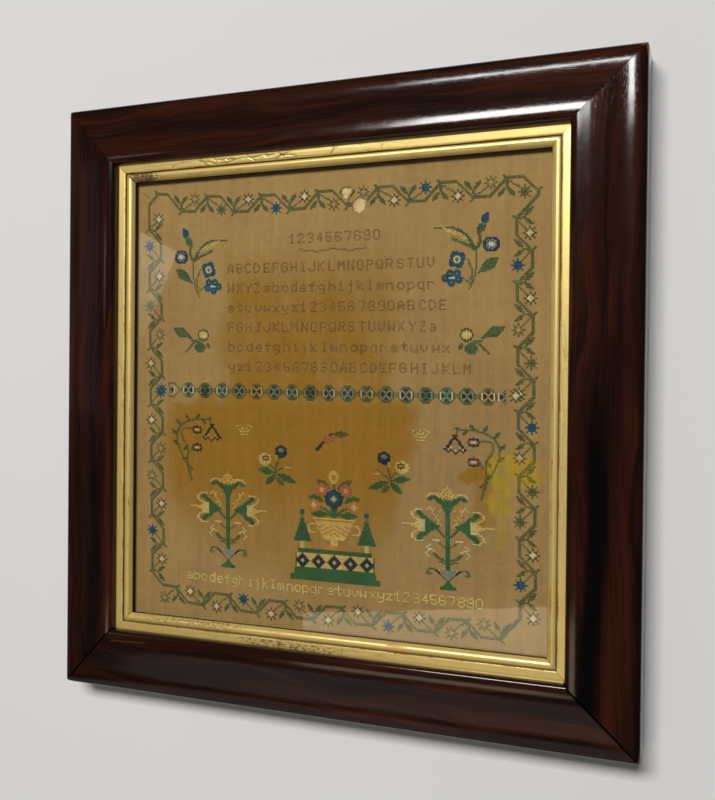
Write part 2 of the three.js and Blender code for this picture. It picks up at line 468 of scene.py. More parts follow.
def member(name, section, length, half, turn, gaps, rounds, stray, seed, look):
    """One side of a mitred frame, with its profile carried along a line.

    A section point (s, h) at share t of the length lies along the side at
    t (length / 2 - s - gap / root 2), so both ends are cut at 45 degrees, and half - s
    from the middle. A worn corner keeps s above radius - root(radius^2 - (radius - e)^2),
    where e is the way to the corner. The whole is then turned to its side.
    """
    s, h = (section * MM).T
    t = stations(length, max(*rounds, 2 * MM))[:, None]
    reach = [length / 2 - s - gap * math.sqrt(0.5) for gap in gaps]
    along = -reach[0] + (reach[0] + reach[1]) * (t + 1) / 2
    inward = np.broadcast_to(s, along.shape).copy()
    if max(rounds) > 0:
        corner = np.where(t < 0, *rounds)
        tip = corner * (1 - math.sqrt(0.5))
        way_round = np.maximum(length / 2 - np.abs(along), tip)
        cut = corner - np.sqrt(np.maximum(corner ** 2 - (corner - way_round) ** 2, 0))
        inward = np.where(way_round < corner, np.maximum(inward, cut), inward)
        along = np.where(inward <= corner, np.sign(along) * (length / 2 - way_round), along)
    phase = np.random.default_rng(seed).uniform(0, 2 * math.pi, len(WANDER))
    wander = sum(np.sin(along * pace + s * twist + p)
                 for (pace, twist), p in zip(WANDER, phase)) / len(WANDER)
    height = FACE_Z + h + stray * smooth_step(h, -4 * MM, -1 * MM) * (wander - 1) / 2
    place = np.stack([along, -(half - inward), np.broadcast_to(height, along.shape)], axis=-1)
    cosine, sine = math.cos(turn), math.sin(turn)
    spin = np.array([[cosine, -sine, 0], [sine, cosine, 0], [0, 0, 1]])
    count = len(section)
    faces = grid_faces(len(t), count, closed=True)
    ends = [list(range(count)), list(range((len(t) - 1) * count, len(t) * count))]
    piece = piece_from(name, place @ spin.T, faces.tolist() + ends, look, (name,), crease=32)

    # the UV map 'grain': the way along the side and the way round the profile
    girth = np.concatenate([[0], np.cumsum(np.linalg.norm(
        np.diff(np.vstack([section, section[:1]]), axis=0), axis=1))]) * MM
    row, column = np.divmod(faces, count)
    column = np.where((column == 0) & (faces[:, [1]] % count == 0) & (np.arange(4) % 3 > 0),
                      count, column)
    sides = np.stack([along[row, column % count], girth[column]], axis=-1).reshape(-1, 2)
    caps = np.concatenate([np.stack([s, h], axis=-1)] * 2)
    layer = piece.data.uv_layers.new(name="grain")
    layer.data.foreach_set("uv", (np.concatenate([sides, caps]) + seed).ravel().astype(np.float32))
    turn_outwards(piece.data)
    return piece, along, *(np.broadcast_to(part, along.shape) for part in (s, h))


SIDES = (
    # name, quarter turns from the bottom, the corners at its two ends
    ("bottom", 0, "bottom_left", "bottom_right"),
    ("right", 1, "bottom_right", "top_right"),
    ("top", 2, "top_right", "top_left"),
    ("left", 3, "top_left", "bottom_left"),
)


def side_lengths(quarter):
    """Length of the outline's side, and the way from the frame's middle to it."""
    if quarter % 2:
        return 2 * HALF_HEIGHT, HALF_WIDTH
    return 2 * HALF_WIDTH, HALF_HEIGHT


def fine_line(look, slope, level, breadth, ends, fade):
    """A fine mark along y = slope x + level: its half breadths where it has gone and where it
    is full, the x it runs between, and the way over which its ends fade."""
    x, y, _ = look.parts(look.place())
    first, last = ends
    return ((y - x * slope - level).size().ease(*breadth) * x.ease(first, first + fade)
            * x.ease(last, last - fade))


def wood_look(sizes):
    """Dark veneer: a near-black ground, red-brown figure drawn out along the grain, fine
    pores, a rubbed polish with smears and dust, one fine scratch on the bottom rail, bare
    arrises and corners where 'wear' is high, and black heartwood where 'heart' is."""
    look = Look("polished_wood")
    along, around = look.grain()
    drift = look.noise((along * 5, around * 9), 1, 2)
    figure = look.noise((along * 3.2, around * 62 + drift * 3.4), 1, 5, 0.62, 0.5)
    streak = look.noise((along * 9, around * 330 + drift * 6), 1, 3, 0.6)
    pore = look.noise((along * 160, around * 2300), 1, 2)
    broad = look.noise((along * 4, around * 14), 1, 2)
    red = (figure.ease(0.34, 0.74) * (0.35 + broad.ease(0.34, 0.62) * 0.6)
           + streak.ease(0.4, 0.8) * 0.3)
    rub = look.noise(look.place(), 420, 4, 0.7)
    bare = (look.field("wear") * 1.25 + rub - 1.0).ease(0.02, 0.28)
    scratch = fine_line(look, 0.040, -0.2254, (0.55 * MM, 0.15 * MM), (-0.218, -0.173), 6 * MM)
    tone = look.layers(
        sizes.wood_dark, (red.least(1.0), sizes.wood_red), (look.field("heart"), JOINT_BLACK),
        (pore.ease(0.60, 0.72) * 0.55, PORE_BLACK), (bare, sizes.wood_worn),
        (scratch * 0.7, sizes.wood_worn),
    )
    smear = look.noise((along * 22, around * 60), 1, 4, 0.65)
    dust = look.noise(look.place(), 900, 2).ease(0.66, 0.78)
    relief = look.bump(pore.ease(0.5, 0.75) * -1.0 + streak * 0.5, 0.03 * MM, 0.3)
    relief = look.bump(look.noise(look.place(), 38, 2), 0.08 * MM, 0.15, under=relief)
    return look.finish(Base_Color=tone, Roughness=0.06 + smear * 0.1 + bare * 0.3 + dust * 0.1,
                       Normal=relief, IOR=1.55)


def gilt_look(sizes):
    """Gold leaf on gesso: cloudy, brushed, rubbed to its ground where 'ridge' is high, darker
    where 'groove' is: in the groove, and as painted shadow under the rails' lip and painted shade
    on the sight walls; specked, dark where 'tarnish' is, and cracked where 'crack' is."""
    look = Look("gilt")
    along, around = look.grain()
    place = look.place()
    cloud = look.noise(place, 34, 4, 0.6)
    brush = look.noise((along * 26, around * 900), 1, 3)
    speck = look.noise(place, 950, 2, 0.6)
    groove, ridge, cracked = (look.field(name) for name in ("groove", "ridge", "crack"))
    rubbed = (ridge * 0.42 + cloud * 0.75 + speck * 0.45 - 0.86).ease(0.0, 0.22)
    fleck = look.noise((along * 240, around * 620), 1, 4, 0.7)
    tarnish = (look.field("tarnish") * 0.42 + fleck - 0.78).ease(0.0, 0.14)
    flakes = look.node("ShaderNodeCombineXYZ", None,
                       {"X": along * 30 + cloud * 1.2, "Y": around * 170 + cloud * 1.6})
    edge = look.node("ShaderNodeTexVoronoi", {"feature": "DISTANCE_TO_EDGE"},
                     {"Vector": flakes, "Scale": 1.0})
    tone = look.layers(
        sizes.gold, (cloud.ease(0.3, 0.75) * 0.5, TONES["pale leaf"]),
        (rubbed, sizes.gold_rubbed),
        # darker in the groove, plus painted shadow under the rails' lip and painted shade on the
        # sight walls
        ((groove * (0.62 + speck * 0.5)).least(1.0), sizes.gold_groove_and_shade),
        # painted shade: near black on the sight walls, where 'groove' holds twice the sight-wall
        # mask
        (groove.ease(1.2, 1.8), SIGHT_WALL_SHADE), (speck.ease(0.68, 0.74) * 0.8, TONES["speck"]),
        (tarnish * 0.85, TONES["tarnish"]),
        ((1 - edge.ease(0.0, 0.055)) * cracked, TONES["crack"]),
    )
    relief = look.bump(brush * 0.6 + cloud, 0.06 * MM, 0.5)
    relief = look.bump(edge.ease(0.0, 0.2) * cracked, 0.25 * MM, 0.8, under=relief)
    return look.finish(
        Base_Color=tone, Metallic=0.5 - groove * 0.25 - rubbed * 0.2 - tarnish * 0.2,
        Roughness=0.26 + cloud * 0.16 + groove * 0.2 + rubbed * 0.18, Normal=relief,
    )


def wear_of(side, along, s, h, length):
    """How rubbed the rails are: along the outer arris and the sight edge, and most of all
    within a few centimetres of the corners."""
    arris = hump(s, 0.6 * MM, 1.1 * MM) * smooth_step(h, -5 * MM, -2.6 * MM)
    lip = hump(s, RAIL_WIDTH, 0.7 * MM) * smooth_step(h, 0, 2 * MM)
    corner = hump(length / 2 - np.abs(along), 0, 9 * MM) * hump(s, 0, 5 * MM)
    wear = 0.34 * arris + 0.3 * lip + 0.5 * corner
    if side == "top":  # the top right corner has lost its veneer
        wear = wear + 0.6 * hump(along, -length / 2, 5 * MM) * hump(s, 0, 5 * MM)
    return np.clip(wear, 0, 1.2)


def heart_of(side, along, s, h):
    """Where the veneer runs nearly black: in a wandering band along the side's inner roll,
    mostly on the right rail's lower half, and all down the outer faces."""
    face = np.maximum(smooth_step(-h, 1 * MM, 4 * MM) * 0.75,
                      smooth_step(-s, -7 * MM, -1 * MM) * 0.5)
    band = hump(s, 38 * MM + 4 * MM * np.sin(along * 17), 9 * MM, 4)
    reach = {"right": smooth_step(-along, -40 * MM, 60 * MM),
             "left": 0.25 + 0.45 * smooth_step(along, 0, 90 * MM)}.get(side, 0)
    return np.clip(face + 1.1 * band * reach, 0, 1)


def build_rails(sizes):
    look = wood_look(sizes)
    for seed, (side, quarter, *corners) in enumerate(SIDES, 1):
        length, half = side_lengths(quarter)
        gaps, rounds = ([getattr(sizes, kind + corner) for corner in corners]
                        for kind in ("gap_", "round_"))
        piece, along, s, h = member(
            "rail_" + side, rail_section(), length, half, quarter * math.pi / 2, gaps,
            rounds, sizes.unevenness, seed, look,
        )
        piece.visible_shadow = side != "top"  # the window lights the slip below it
        heart = heart_of(side, along, s, h)
        for end, corner in zip((0, -1), corners):
            if corner.startswith("bottom"):
                heart[end] = 1  # the open joint is full of old dirt
        attributes(piece.data, wear=wear_of(side, along, s, h, length), heart=heart)


def tarnish_of(side, along, on_face, length):
    """How far the leaf has gone dark: on the top slip's bead next to its left corner, and in
    long patches of the bottom slip. on_face is the way in from the rails, in mm."""
    if side == "top":
        return hump(length / 2 - along, 84 * MM, 24 * MM, 4) * smooth_step(on_face, 6.5, 8)
    if side == "bottom":
        bead = smooth_step(on_face, 8, 9.5) * hump(along, -0.13, 0.08, 4) * 0.7
        fillet = smooth_step(-on_face, -6.5, -5) * hump(along, -0.03, 0.07, 4) * 0.8
        return np.maximum(bead, fillet)
    return 0.25 * np.ones_like(along)


def build_slips(sizes):
    look = gilt_look(sizes)
    for seed, (side, quarter, *_) in enumerate(SIDES, 11):
        length, half = side_lengths(quarter)
        piece, along, s, h = member(
            "slip_" + side, slip_section(), length, half, quarter * math.pi / 2,
            [sizes.slip_gap] * 2, (0, 0), sizes.unevenness * 0.6, seed, look,
        )
        on_face = (s - RAIL_WIDTH) / MM
        groove = smooth_step(on_face, 6.8, 7.15) * smooth_step(-on_face, -8.5, -7.9)
        # painted shadow: the rails' lip shades the fillet's outer edge
        lip_shadow = smooth_step(-on_face, -1.0, 0.2) * 0.3
        # painted shade: marks the sight wall down to the cloth, to be painted near black for the
        # shaded recess
        sight_wall_shade = smooth_step(-h, 5.0 * MM, 5.8 * MM)
        crack, middle = (1.0, 0.06) if side == "top" else (0.25, 0.0)
        crack = crack * hump(along, middle, 0.11, 4) * smooth_step(-on_face, -6.4, -5.4)
        # 'groove' holds the groove's darkening, the painted lip shadow and twice the painted
        # sight-wall shade
        attributes(
            piece.data, groove=np.clip(groove + lip_shadow + 2 * sight_wall_shade, 0, 2),
            ridge=hump(on_face, 6.6, 1) + 0.7 * hump(on_face, 12.6, 1.2),
            crack=crack * smooth_step(on_face, 0.2, 1),
            tarnish=tarnish_of(side, along, on_face, length),
        )


# ---- glass and board

def glass_look():
    """Old sheet glass: faintly wavy, with a little grime."""
    look = Look("glass")
    place = look.place()
    grime = look.noise(place, 40, 4, 0.6).ease(0.5, 0.9)
    return look.finish(
        Base_Color=(0.97, 0.98, 0.96), Roughness=0.015 + grime * 0.05,
        Normal=look.bump(look.noise(place, 9, 2), 0.5 * MM, 0.25), Transmission_Weight=1.0,
        IOR=1.5,
    )


def board_look(sizes):
    """Pale backing, a little fibrous, browner in patches."""
    look = Look("board")
    place = look.place()
    patch = look.noise(place, 60, 4, 0.6)
    fibre = look.noise(place, 1500, 3, 0.7)
    tone = look.layers(
        sizes.board, (patch.ease(0.35, 0.75) * 0.6, TONES["patch of the board"]),
        (fibre.ease(0.55, 0.8) * 0.3, TONES["fibre"]),
    )
    return look.finish(
        Base_Color=tone, Roughness=0.85, Normal=look.bump(fibre + patch, 0.12 * MM, 0.6),
    )


# ---- the cloth

TEARS = (
    # x and drop from the top of the sight in mm, and the torn outline's corners round that
    (17.5, 24.0, ((-5, 4.5), (-1.5, 6), (4.5, 5), (4.8, 1), (1, -5.5), (-3.5, -3))),
    (30.0, 35.0, ((-6.5, 3.5), (-0.5, 7.5), (6.5, 4.5), (5, -4), (0.5, -7.5), (-5.5, -4.5))),
)
TORN_X = (9 * MM, 40 * MM)  # the part of the cloth that has the finer grid
TORN_Y = (SIGHT_TOP - 14 * MM - 32 * MM, SIGHT_TOP - 14 * MM)


def tear_reach(corners, angle):
    """How far a tear reaches from its middle in each direction: its outline's corners joined
    by straight lines, plus a ragged edge of three sines."""
    corners = np.array(corners, float) * MM
    share = np.linspace(0, 1, 24, endpoint=False)[:, None, None]
    line = (corners * (1 - share) + np.roll(corners, -1, axis=0) * share).reshape(-1, 2)
    line_angle = np.arctan2(line[:, 1], line[:, 0])
    order = np.argsort(line_angle)
    reach = np.interp(angle, line_angle[order], np.linalg.norm(line, axis=1)[order],
                      period=2 * math.pi)
    ragged = np.sin(7 * angle + 1) + 0.8 * np.sin(13 * angle) + 0.6 * np.sin(23 * angle + 2)
    return reach + 0.17 * MM * ragged


def from_tears(x, y):
    """For each tear: its middle, the way from it, the direction, and the torn edge's reach."""
    for tear_x, drop, corners in TEARS:
        middle = np.array([tear_x * MM, SIGHT_TOP - drop * MM])
        east, north = x - middle[0], y - middle[1]
        angle = np.arctan2(north, east)
        yield middle, np.hypot(east, north), angle, tear_reach(corners, angle)


def cloth_height(x, y, face):
    """The cloth's front: wide low waves all over, short folds that hang from the top edge
    over the tears, and a rim that lifts at each torn edge."""
    drop = SIGHT_TOP - y
    wide = 0.5 * np.sin(x / (47 * MM) + 0.6) * np.cos(y / (61 * MM))
    folds = (0.5 * np.sin(x / (7.5 * MM)) * np.exp(-((x - 24 * MM) ** 2) / (1800 * MM * MM))
             * np.exp(-np.maximum(drop, 0) / (45 * MM)))
    height = face + SWELL * (wide + folds)
    for middle, way, angle, reach in from_tears(x, y):
        lift = np.exp(-np.clip(way - reach, 0, None) / (2.2 * MM))
        height = height + 0.16 * MM * lift * (0.4 + 0.6 * np.sin(5 * angle + middle[0] * 900))
    return height


def cloth_lines(low, high, torn, sizes):
    """Grid lines from low to high, close together over the torn part."""
    ways = ((low, torn[0], sizes.cell), (*torn, sizes.fine_cell), (torn[1], high, sizes.cell))
    before, inside, after = (
        np.linspace(start, end, max(1, round((end - start) / cell)) + 1)
        for start, end, cell in ways
    )
    return np.concatenate([before[:-1], inside, after[1:]])


def build_cloth_sheet(sizes, look):
    """A grid over the whole rabbet. Cells inside a tear are left out, and the points round
    each hole are moved out to the torn edge."""
    xs = cloth_lines(CLOTH_LOW.x, CLOTH_HIGH.x, TORN_X, sizes)
    ys = cloth_lines(CLOTH_LOW.y, CLOTH_HIGH.y, TORN_Y, sizes)
    y, x = (part.ravel() for part in np.meshgrid(ys, xs, indexing="ij"))
    faces = grid_faces(len(ys), len(xs))
    kept = np.ones(len(faces), bool)
    for _, way, _, reach in from_tears(x[faces].mean(axis=1), y[faces].mean(axis=1)):
        kept &= way > reach
    torn, used = np.zeros((2, len(x)), bool)
    torn[faces[~kept].ravel()] = True
    faces = faces[kept]
    used[faces.ravel()] = True
    for middle, way, angle, reach in from_tears(x, y):
        edge = used & (way < reach + 3 * sizes.fine_cell) & (torn | (way < reach))
        x = np.where(edge, middle[0] + reach * np.cos(angle), x)
        y = np.where(edge, middle[1] + reach * np.sin(angle), y)
    number = np.cumsum(used) - 1
    points = np.stack([x, y, cloth_height(x, y, sizes.face)], axis=-1)[used]
    piece = piece_from("sampler_cloth", points, number[faces].tolist(), look, ("cloth",))
    shell = piece.modifiers.new("thickness", "SOLIDIFY")
    shell.thickness = sizes.thickness
    shell.offset = -1
    return piece


def tubes(lines, radius, sides=3):
    """Round threads along lines (n, m, 3): rings of points square to the line, closed at the
    ends by a small face."""
    count, steps, _ = lines.shape
    ahead = np.gradient(lines, axis=1)
    ahead /= np.linalg.norm(ahead, axis=-1, keepdims=True)
    across = np.cross(ahead, (0, 0, 1.0))
    across /= np.maximum(np.linalg.norm(across, axis=-1, keepdims=True), 1e-9)
    above = np.cross(across, ahead)
    turn = (np.arange(sides) * 2 * math.pi / sides)[:, None]
    ring = across[:, :, None] * np.cos(turn) + above[:, :, None] * np.sin(turn)
    start = np.arange(count)[:, None, None] * steps * sides
    walls = (grid_faces(steps, sides, closed=True)[None] + start).reshape(-1, 4)
    ends = np.stack([np.arange(sides)[::-1], (steps - 1) * sides + np.arange(sides)])
    caps = (ends[None] + start).reshape(-1, sides)
    return lines[:, :, None] + ring * radius, walls.tolist() + caps.tolist()


def build_frayed_threads(sizes, look):
    """Short broken threads round the torn edges: each starts in the cloth and bends over the
    hole, with a turn and a droop of its own."""
    random = np.random.default_rng(5)
    lines = []
    count, steps = 46, 7  # threads round a tear, and points along a thread
    rooted, thick = 1.1 * MM, 0.11 * MM  # how far back in the cloth it starts, and its radius
    share = np.linspace(0, 1, steps)[None]
    for tear_x, drop, corners in TEARS:
        angle = random.uniform(-math.pi, math.pi, count)
        reach = tear_reach(corners, angle)
        size = random.uniform(0.8, 3.6, count) * MM
        way = reach[:, None] + rooted - size[:, None] * share
        swing = angle[:, None] + random.normal(0, 0.30, count)[:, None] * share ** 1.5
        x = tear_x * MM + way * np.cos(swing)
        y = SIGHT_TOP - drop * MM + way * np.sin(swing)
        droop = random.uniform(0.0, 0.5, count)[:, None] * MM * share ** 2
        rise = 0.1 * MM * np.sin(share * math.pi)
        lines.append(np.stack([x, y, cloth_height(x, y, sizes.face) + rise - droop], axis=-1))
    points, faces = tubes(np.concatenate(lines), thick)
    turn_outwards(piece_from("frayed_threads", points, faces, look).data)


def stain_masks(look):
    """Where the cloth is stained, for the cloth and for the threads on it: (brown, yellow).

    The brown stain is wide over the lower half and reaches up into the lettered rows, with
    a wandering edge. The yellow one is small, at the right. x and y are in millimetres.
    """
    place = look.place()
    x, y, _ = look.parts(place)
    drift, short_drift = look.noise(place, 13, 4, 0.6) - 0.5, look.noise(place, 31, 3, 0.6) - 0.5
    x = x * 1000 + drift * 46 + short_drift * 20
    y = y * 1000 + drift * 34 - short_drift * 24

    def blob(across, up, wide, high):
        """1 within an ellipse round that place, easing to 0 just outside it."""
        east, north = (x - across) / wide, (y - up) / high
        return (east * east + north * north).ease(1.35, 0.55)

    patchy = look.noise((x * 0.03, y * 0.016), 1, 4, 0.7).ease(0.3, 0.6) * 0.5 + 0.5
    upper = x.ease(-114, -92) * x.ease(86, 34) * y.ease(150, 84) * y.ease(-26, 0) * patchy
    right_edge = 84 - (y + 40).least(0.0).size() * 0.35
    lower = (x.ease(-176, -150) * (x - right_edge).ease(16, -8) * y.ease(10, -8)
             * (y + x * -0.32).ease(-190, -140) * (y + x * 0.42).ease(-206, -164)
             * (y.ease(-128, -66) * 0.45 + 0.55))
    wedge = blob(142, -60, 17, 8).most(blob(147, -82, 9, 24) * 0.6)
    spill = blob(175, -55, 27, 14).most(blob(162, -78, 11, 19)).most(blob(160, -104, 4, 22) * 0.6)
    return (upper.most(lower).most(wedge),
            spill * look.noise(place, 26, 4, 0.7, 0.6).ease(0.28, 0.56))


def cloth_look(sizes):
    """Plain weave: warp and weft threads as crossing ridges, in relief and in a little painted
    shade, slubs that run down the warp, paler and darker bars and mottling, the stains, and a
    loose dark thread at the top left."""
    look = Look("cloth")
    place = look.place()
    x, y, _ = look.parts(place)
    turn = 2 * math.pi / sizes.thread
    slub = look.noise((x * 900, y * 26), 1, 3, 0.6)
    weft_slub = look.noise((x * 30, y * 1100), 1, 2, 0.6)
    bar = look.noise((x * 120, y * 3.0), 1, 4, 0.6)
    patch = look.noise(place, 11, 5, 0.6)
    mottle = look.noise(place, 150, 3, 0.7)
    warp, weft = (x * turn).sine(), (y * turn).sine()
    brown, yellow = stain_masks(look)
    loose = fine_line(look, -0.81, 0.0414, (0.65 * MM, 0.2 * MM), (-0.1965, -0.1867), MM)
    tone = look.layers(
        sizes.ground, (patch.ease(0.35, 0.7) * 0.45, TONES["patch of the cloth"]),
        (brown, sizes.stain), (yellow * 0.78, sizes.yellow), (loose * 0.75, TONES["loose thread"]),
    )
    # the warp times weft term is painted shade of the weave's crossings; the rest is the cloth's
    # own tone
    shade = (0.66 + slub * 0.34 + weft_slub * 0.2 + (bar - 0.5) * 0.38 + (mottle - 0.5) * 0.32
             + warp * weft * 0.05)
    relief = look.bump(warp * 0.5 + weft * 0.5 + slub * 1.2 + weft_slub * 0.7, 0.10 * MM, 0.55)
    relief = look.bump(bar + patch, 0.5 * MM, 0.3, under=relief)
    return look.finish(Base_Color=look.shaded(tone, shade), Roughness=0.82, Normal=relief,
                       Specular_IOR_Level=0.15)


# ---- counted designs

RIM = 1.1  # how wide a hollow oval's rim is


class Chart:
    """Crosses on the counted grid. Each has a place (column, row) and a thread, and a later
    one covers an earlier one at the same place."""

    def __init__(self):
        self.places = np.zeros((0, 2), int)
        self.threads = np.zeros(0, int)

    def put(self, places, thread):
        places = np.round(np.asarray(places, float)).astype(int).reshape(-1, 2)
        number = list(THREADS).index(thread)
        self.places = np.concatenate([self.places, places])
        self.threads = np.concatenate([self.threads, np.full(len(places), number)])

    def line(self, points, thread, wide=1):
        """Crosses along straight lines from point to point, wide crosses across and one fewer
        up."""
        points = np.asarray(points, float)
        across, up = np.arange(wide) - (wide - 1) // 2, np.arange(max(1, wide - 1))
        brush = np.stack(np.meshgrid(across, up), axis=-1).reshape(-1, 2)
        for start, end in zip(points[:-1], points[1:]):
            share = np.linspace(0, 1, int(np.abs(end - start).max()) + 1)[:, None]
            cells = np.round(start + (end - start) * share)
            self.put((cells[:, None] + brush).reshape(-1, 2), thread)

    def curve(self, handles, thread, wide=1):
        """Crosses along a curve through its handles."""
        size = int(np.abs(np.diff(np.asarray(handles, float), axis=0)).sum())
        self.line(np.vstack([bent(handles, size), handles[-1]]), thread, wide)

    def fill(self, inside, box, thread):
        """Every place in box = (left, low, right, high) for which inside(x, y) holds."""
        left, low, right, high = (int(round(v)) for v in box)
        x, y = np.meshgrid(np.arange(left, right + 1), np.arange(low, high + 1))
        chosen = inside(x, y)
        self.put(np.stack([x[chosen], y[chosen]], axis=-1), thread)

    def oval(self, centre, radii, thread, hollow=False):
        """((x - cx) / rx)^2 + ((y - cy) / ry)^2 <= 1, or only its rim, RIM wide."""
        (cx, cy), (rx, ry) = centre, radii

        def inside(x, y):
            far = ((x - cx) / rx) ** 2 + ((y - cy) / ry) ** 2
            inner = ((x - cx) / (rx - RIM)) ** 2 + ((y - cy) / (ry - RIM)) ** 2
            return (far <= 1) & ((inner > 1) | (not hollow))

        self.fill(inside, (cx - rx - 1, cy - ry - 1, cx + rx + 1, cy + ry + 1), thread)

    def leaf(self, start, end, width, thread, full=0.5):
        """A blade from start to end, width times sin(pi share) wide, fullest at full."""
        start, end = np.asarray(start, float), np.asarray(end, float)
        reach = np.linalg.norm(end - start)
        ahead = (end - start) / reach

        def inside(x, y):
            east, north = x - start[0], y - start[1]
            share = (east * ahead[0] + north * ahead[1]) / reach
            aside = np.abs(east * ahead[1] - north * ahead[0])
            bulge = np.clip(share, 0, 1) ** (math.log(0.5) / math.log(full))
            within = (share >= -0.02) & (share <= 1.02)
            return within & (aside <= width / 2 * np.sin(math.pi * bulge) + 0.45)

        self.fill(inside, (*(np.minimum(start, end) - width), *(np.maximum(start, end) + width)),
                  thread)

    def work(self, text):
        """Strokes told in words, each ended by a semicolon: its kind, its thread, and its
        places as across,up. A line or a curve may have :its width. A leaf has :its width, and
        a blade is a leaf that is fullest past its middle. An oval and a ring have their middle
        and their two radii. Dots are single crosses."""
        for stroke in text.split(";"):
            kind, thread, *marks = stroke.split()
            kind, _, width = kind.partition(":")
            places = [tuple(float(part) for part in mark.split(",")) for mark in marks]
            if kind == "dots":
                self.put(places, thread)
            elif kind in ("line", "curve"):
                getattr(self, kind)(places, thread, int(width or 1))
            elif kind in ("oval", "ring"):
                self.oval(*places, thread, hollow=kind == "ring")
            else:
                self.leaf(*places, float(width), thread, 0.6 if kind == "blade" else 0.5)

    def rows(self, rows, legend, corner):
        """A small chart, top row first, whose top left cross lies at corner."""
        for down, row in enumerate(rows):
            for key, thread in legend.items():
                across = [i for i, mark in enumerate(row) if mark == key]
                self.put([(corner[0] + i, corner[1] - down) for i in across], thread)

    def add(self, other, at=(0, 0), flip=1):
        """Another chart moved to at, mirrored left to right where flip is -1."""
        moved = other.places * (flip, 1) + np.round(at).astype(int)
        self.places = np.concatenate([self.places, moved])
        self.threads = np.concatenate([self.threads, other.threads])

    def final(self):
        """Places and threads with each place once, the last put there."""
        key = self.places[::-1] @ (1, 100000)
        _, first = np.unique(key, return_index=True)
        keep = len(self.places) - 1 - first
        return self.places[keep], self.threads[keep]


def worked(text):
    """A chart that holds the strokes in text."""
    chart = Chart()
    chart.work(text)
    return chart


def copies(chart, *places):
    """A motif at each of some places: across, up, and -1 where it is mirrored."""
    many = Chart()
    for *at, flip in places:
        many.add(chart, at, flip)
    return many


ROUNDEL = (
    ".llkkkll.",
    "e.llkll.e",
    "ekklllkke",
    "ekkklkkke",
    "ekklllkke",
    "e.llkll.e",
    ".llkkkll.",
)

STARS = {
    # the flower's thread: its ring and rays, its diamond and how far that reaches, its middle
    "blue": ("teal", "blue", 3, "blue"),
    "cream": ("olive", "cream", 2, "cream"),
    "tan": ("vine", "tan", 2, "straw"),
    "olive": ("vine", "moss", 2, "olive"),
}


def star(thread):
    """A border flower: a bright diamond |x| + |y| <= reach in a ring with eight short rays."""
    chart = Chart()
    box = (-4, -4, 4, 4)
    rays, core, reach, middle = STARS[thread]

    def ring(x, y):
        straight = (x * y == 0) & (np.abs(x + y) > 2)
        slanting = (np.abs(x) == np.abs(y)) & (np.abs(x) < 4)
        return straight | slanting | (np.abs(x) + np.abs(y) == 3)

    chart.fill(ring, box, rays)
    chart.fill(lambda x, y: np.abs(x) + np.abs(y) <= reach, box, core)
    chart.put([(0, 0)], middle)
    return chart


# One row for each side, clockwise. A side's stem runs in flats, first on one line and then
# on the other, and from flat to flat slantwise. Ways are counted along the side's direction.
BORDER = (
    # direction, first line, second line, first start, second start, pitch, lengths of a flat,
    # way to a flower, lean of a sprig, the flowers' threads in order, the corner's points
    ((1, 0), 133, 144, -115, -93, 44, (11, 11), 12, 0,
     "tan olive cream blue cream tan tan cream blue cream tan olive", ((147, 135), (147, 132))),
    ((0, -1), 133, 143, -118, -98, 41, (10, 11), 9, -2,
     "cream blue cream tan olive cream blue cream olive olive cream blue cream", ()),
    ((-1, 0), -153, -143, -120, -98, 44, (12, 12), 10, -2,
     "tan tan cream blue cream cream tan cream blue cream cream tan", ((-143, -134),)),
    ((0, 1), -143, -133, -132, -111, 42, (11, 11), 9, -2,
     "cream blue cream tan tan cream blue cream tan olive cream blue",
     ((-143, 120), (-143, 136), (-135, 144), (-126, 144))),
)
# Shoots at the corners: place, directions along and across, way to a flower, lean, thread
CORNER_SHOOTS = (
    ((-143, 120), (0, 1), (1, 0), 7, -2, "cream"),
    ((-135, 144), (1, 0), (0, -1), 0, 0, None),
    ((147, 135), (0, -1), (-1, 0), 0, 0, None),
)


def border():
    """The stem's course round the cloth and what springs from it, as two charts: the vine,
    and the flowers."""
    vine, flowers, course = Chart(), Chart(), []

    def shoot(at, ahead, across, to_flower, lean, thread):
        """At the start of a flat: a thick spur outwards, a sprig with two leaves across the
        border, and a twig to a flower. Without a thread there is only the spur."""
        def to(way, over):
            return np.array(at) + np.array(ahead) * way + np.array(across) * over

        vine.line([to(-1, -1), to(-2, -2)], "vine", 2)
        if thread is None:
            return
        fork = lean // 2, 5
        vine.line([to(0, 0), to(*fork)], "vine", 2)
        for side in (-1, 1):
            tip = fork[0] + side * 5.5 + lean // 2, 11
            vine.leaf(to(*fork), to(*tip), 1.8, "leaf", 0.62)
        vine.line([to(1, 1), to(to_flower - 3, 6)], "moss")
        flowers.add(star(thread), to(to_flower, 9))

    for ahead, *lines, first, second, pitch, lengths, way, lean, order, corner in BORDER:
        ahead = np.array(ahead)
        side = np.abs(ahead[::-1])
        for number, thread in enumerate(order.split()):
            which = number % 2
            start = (first, second)[which] + number // 2 * pitch
            at = ahead * start + side * lines[which]
            course += [at, at + ahead * lengths[which]]
            shoot(at, ahead, side * np.sign(lines[1 - which] - lines[which]), way, lean, thread)
        course += corner
    for each in CORNER_SHOOTS:
        shoot(*each)
    course = np.array(course + course[:1])
    vine.line(course, "vine", 2)
    vine.line(course + (0, 1), "vine")
    return vine, flowers


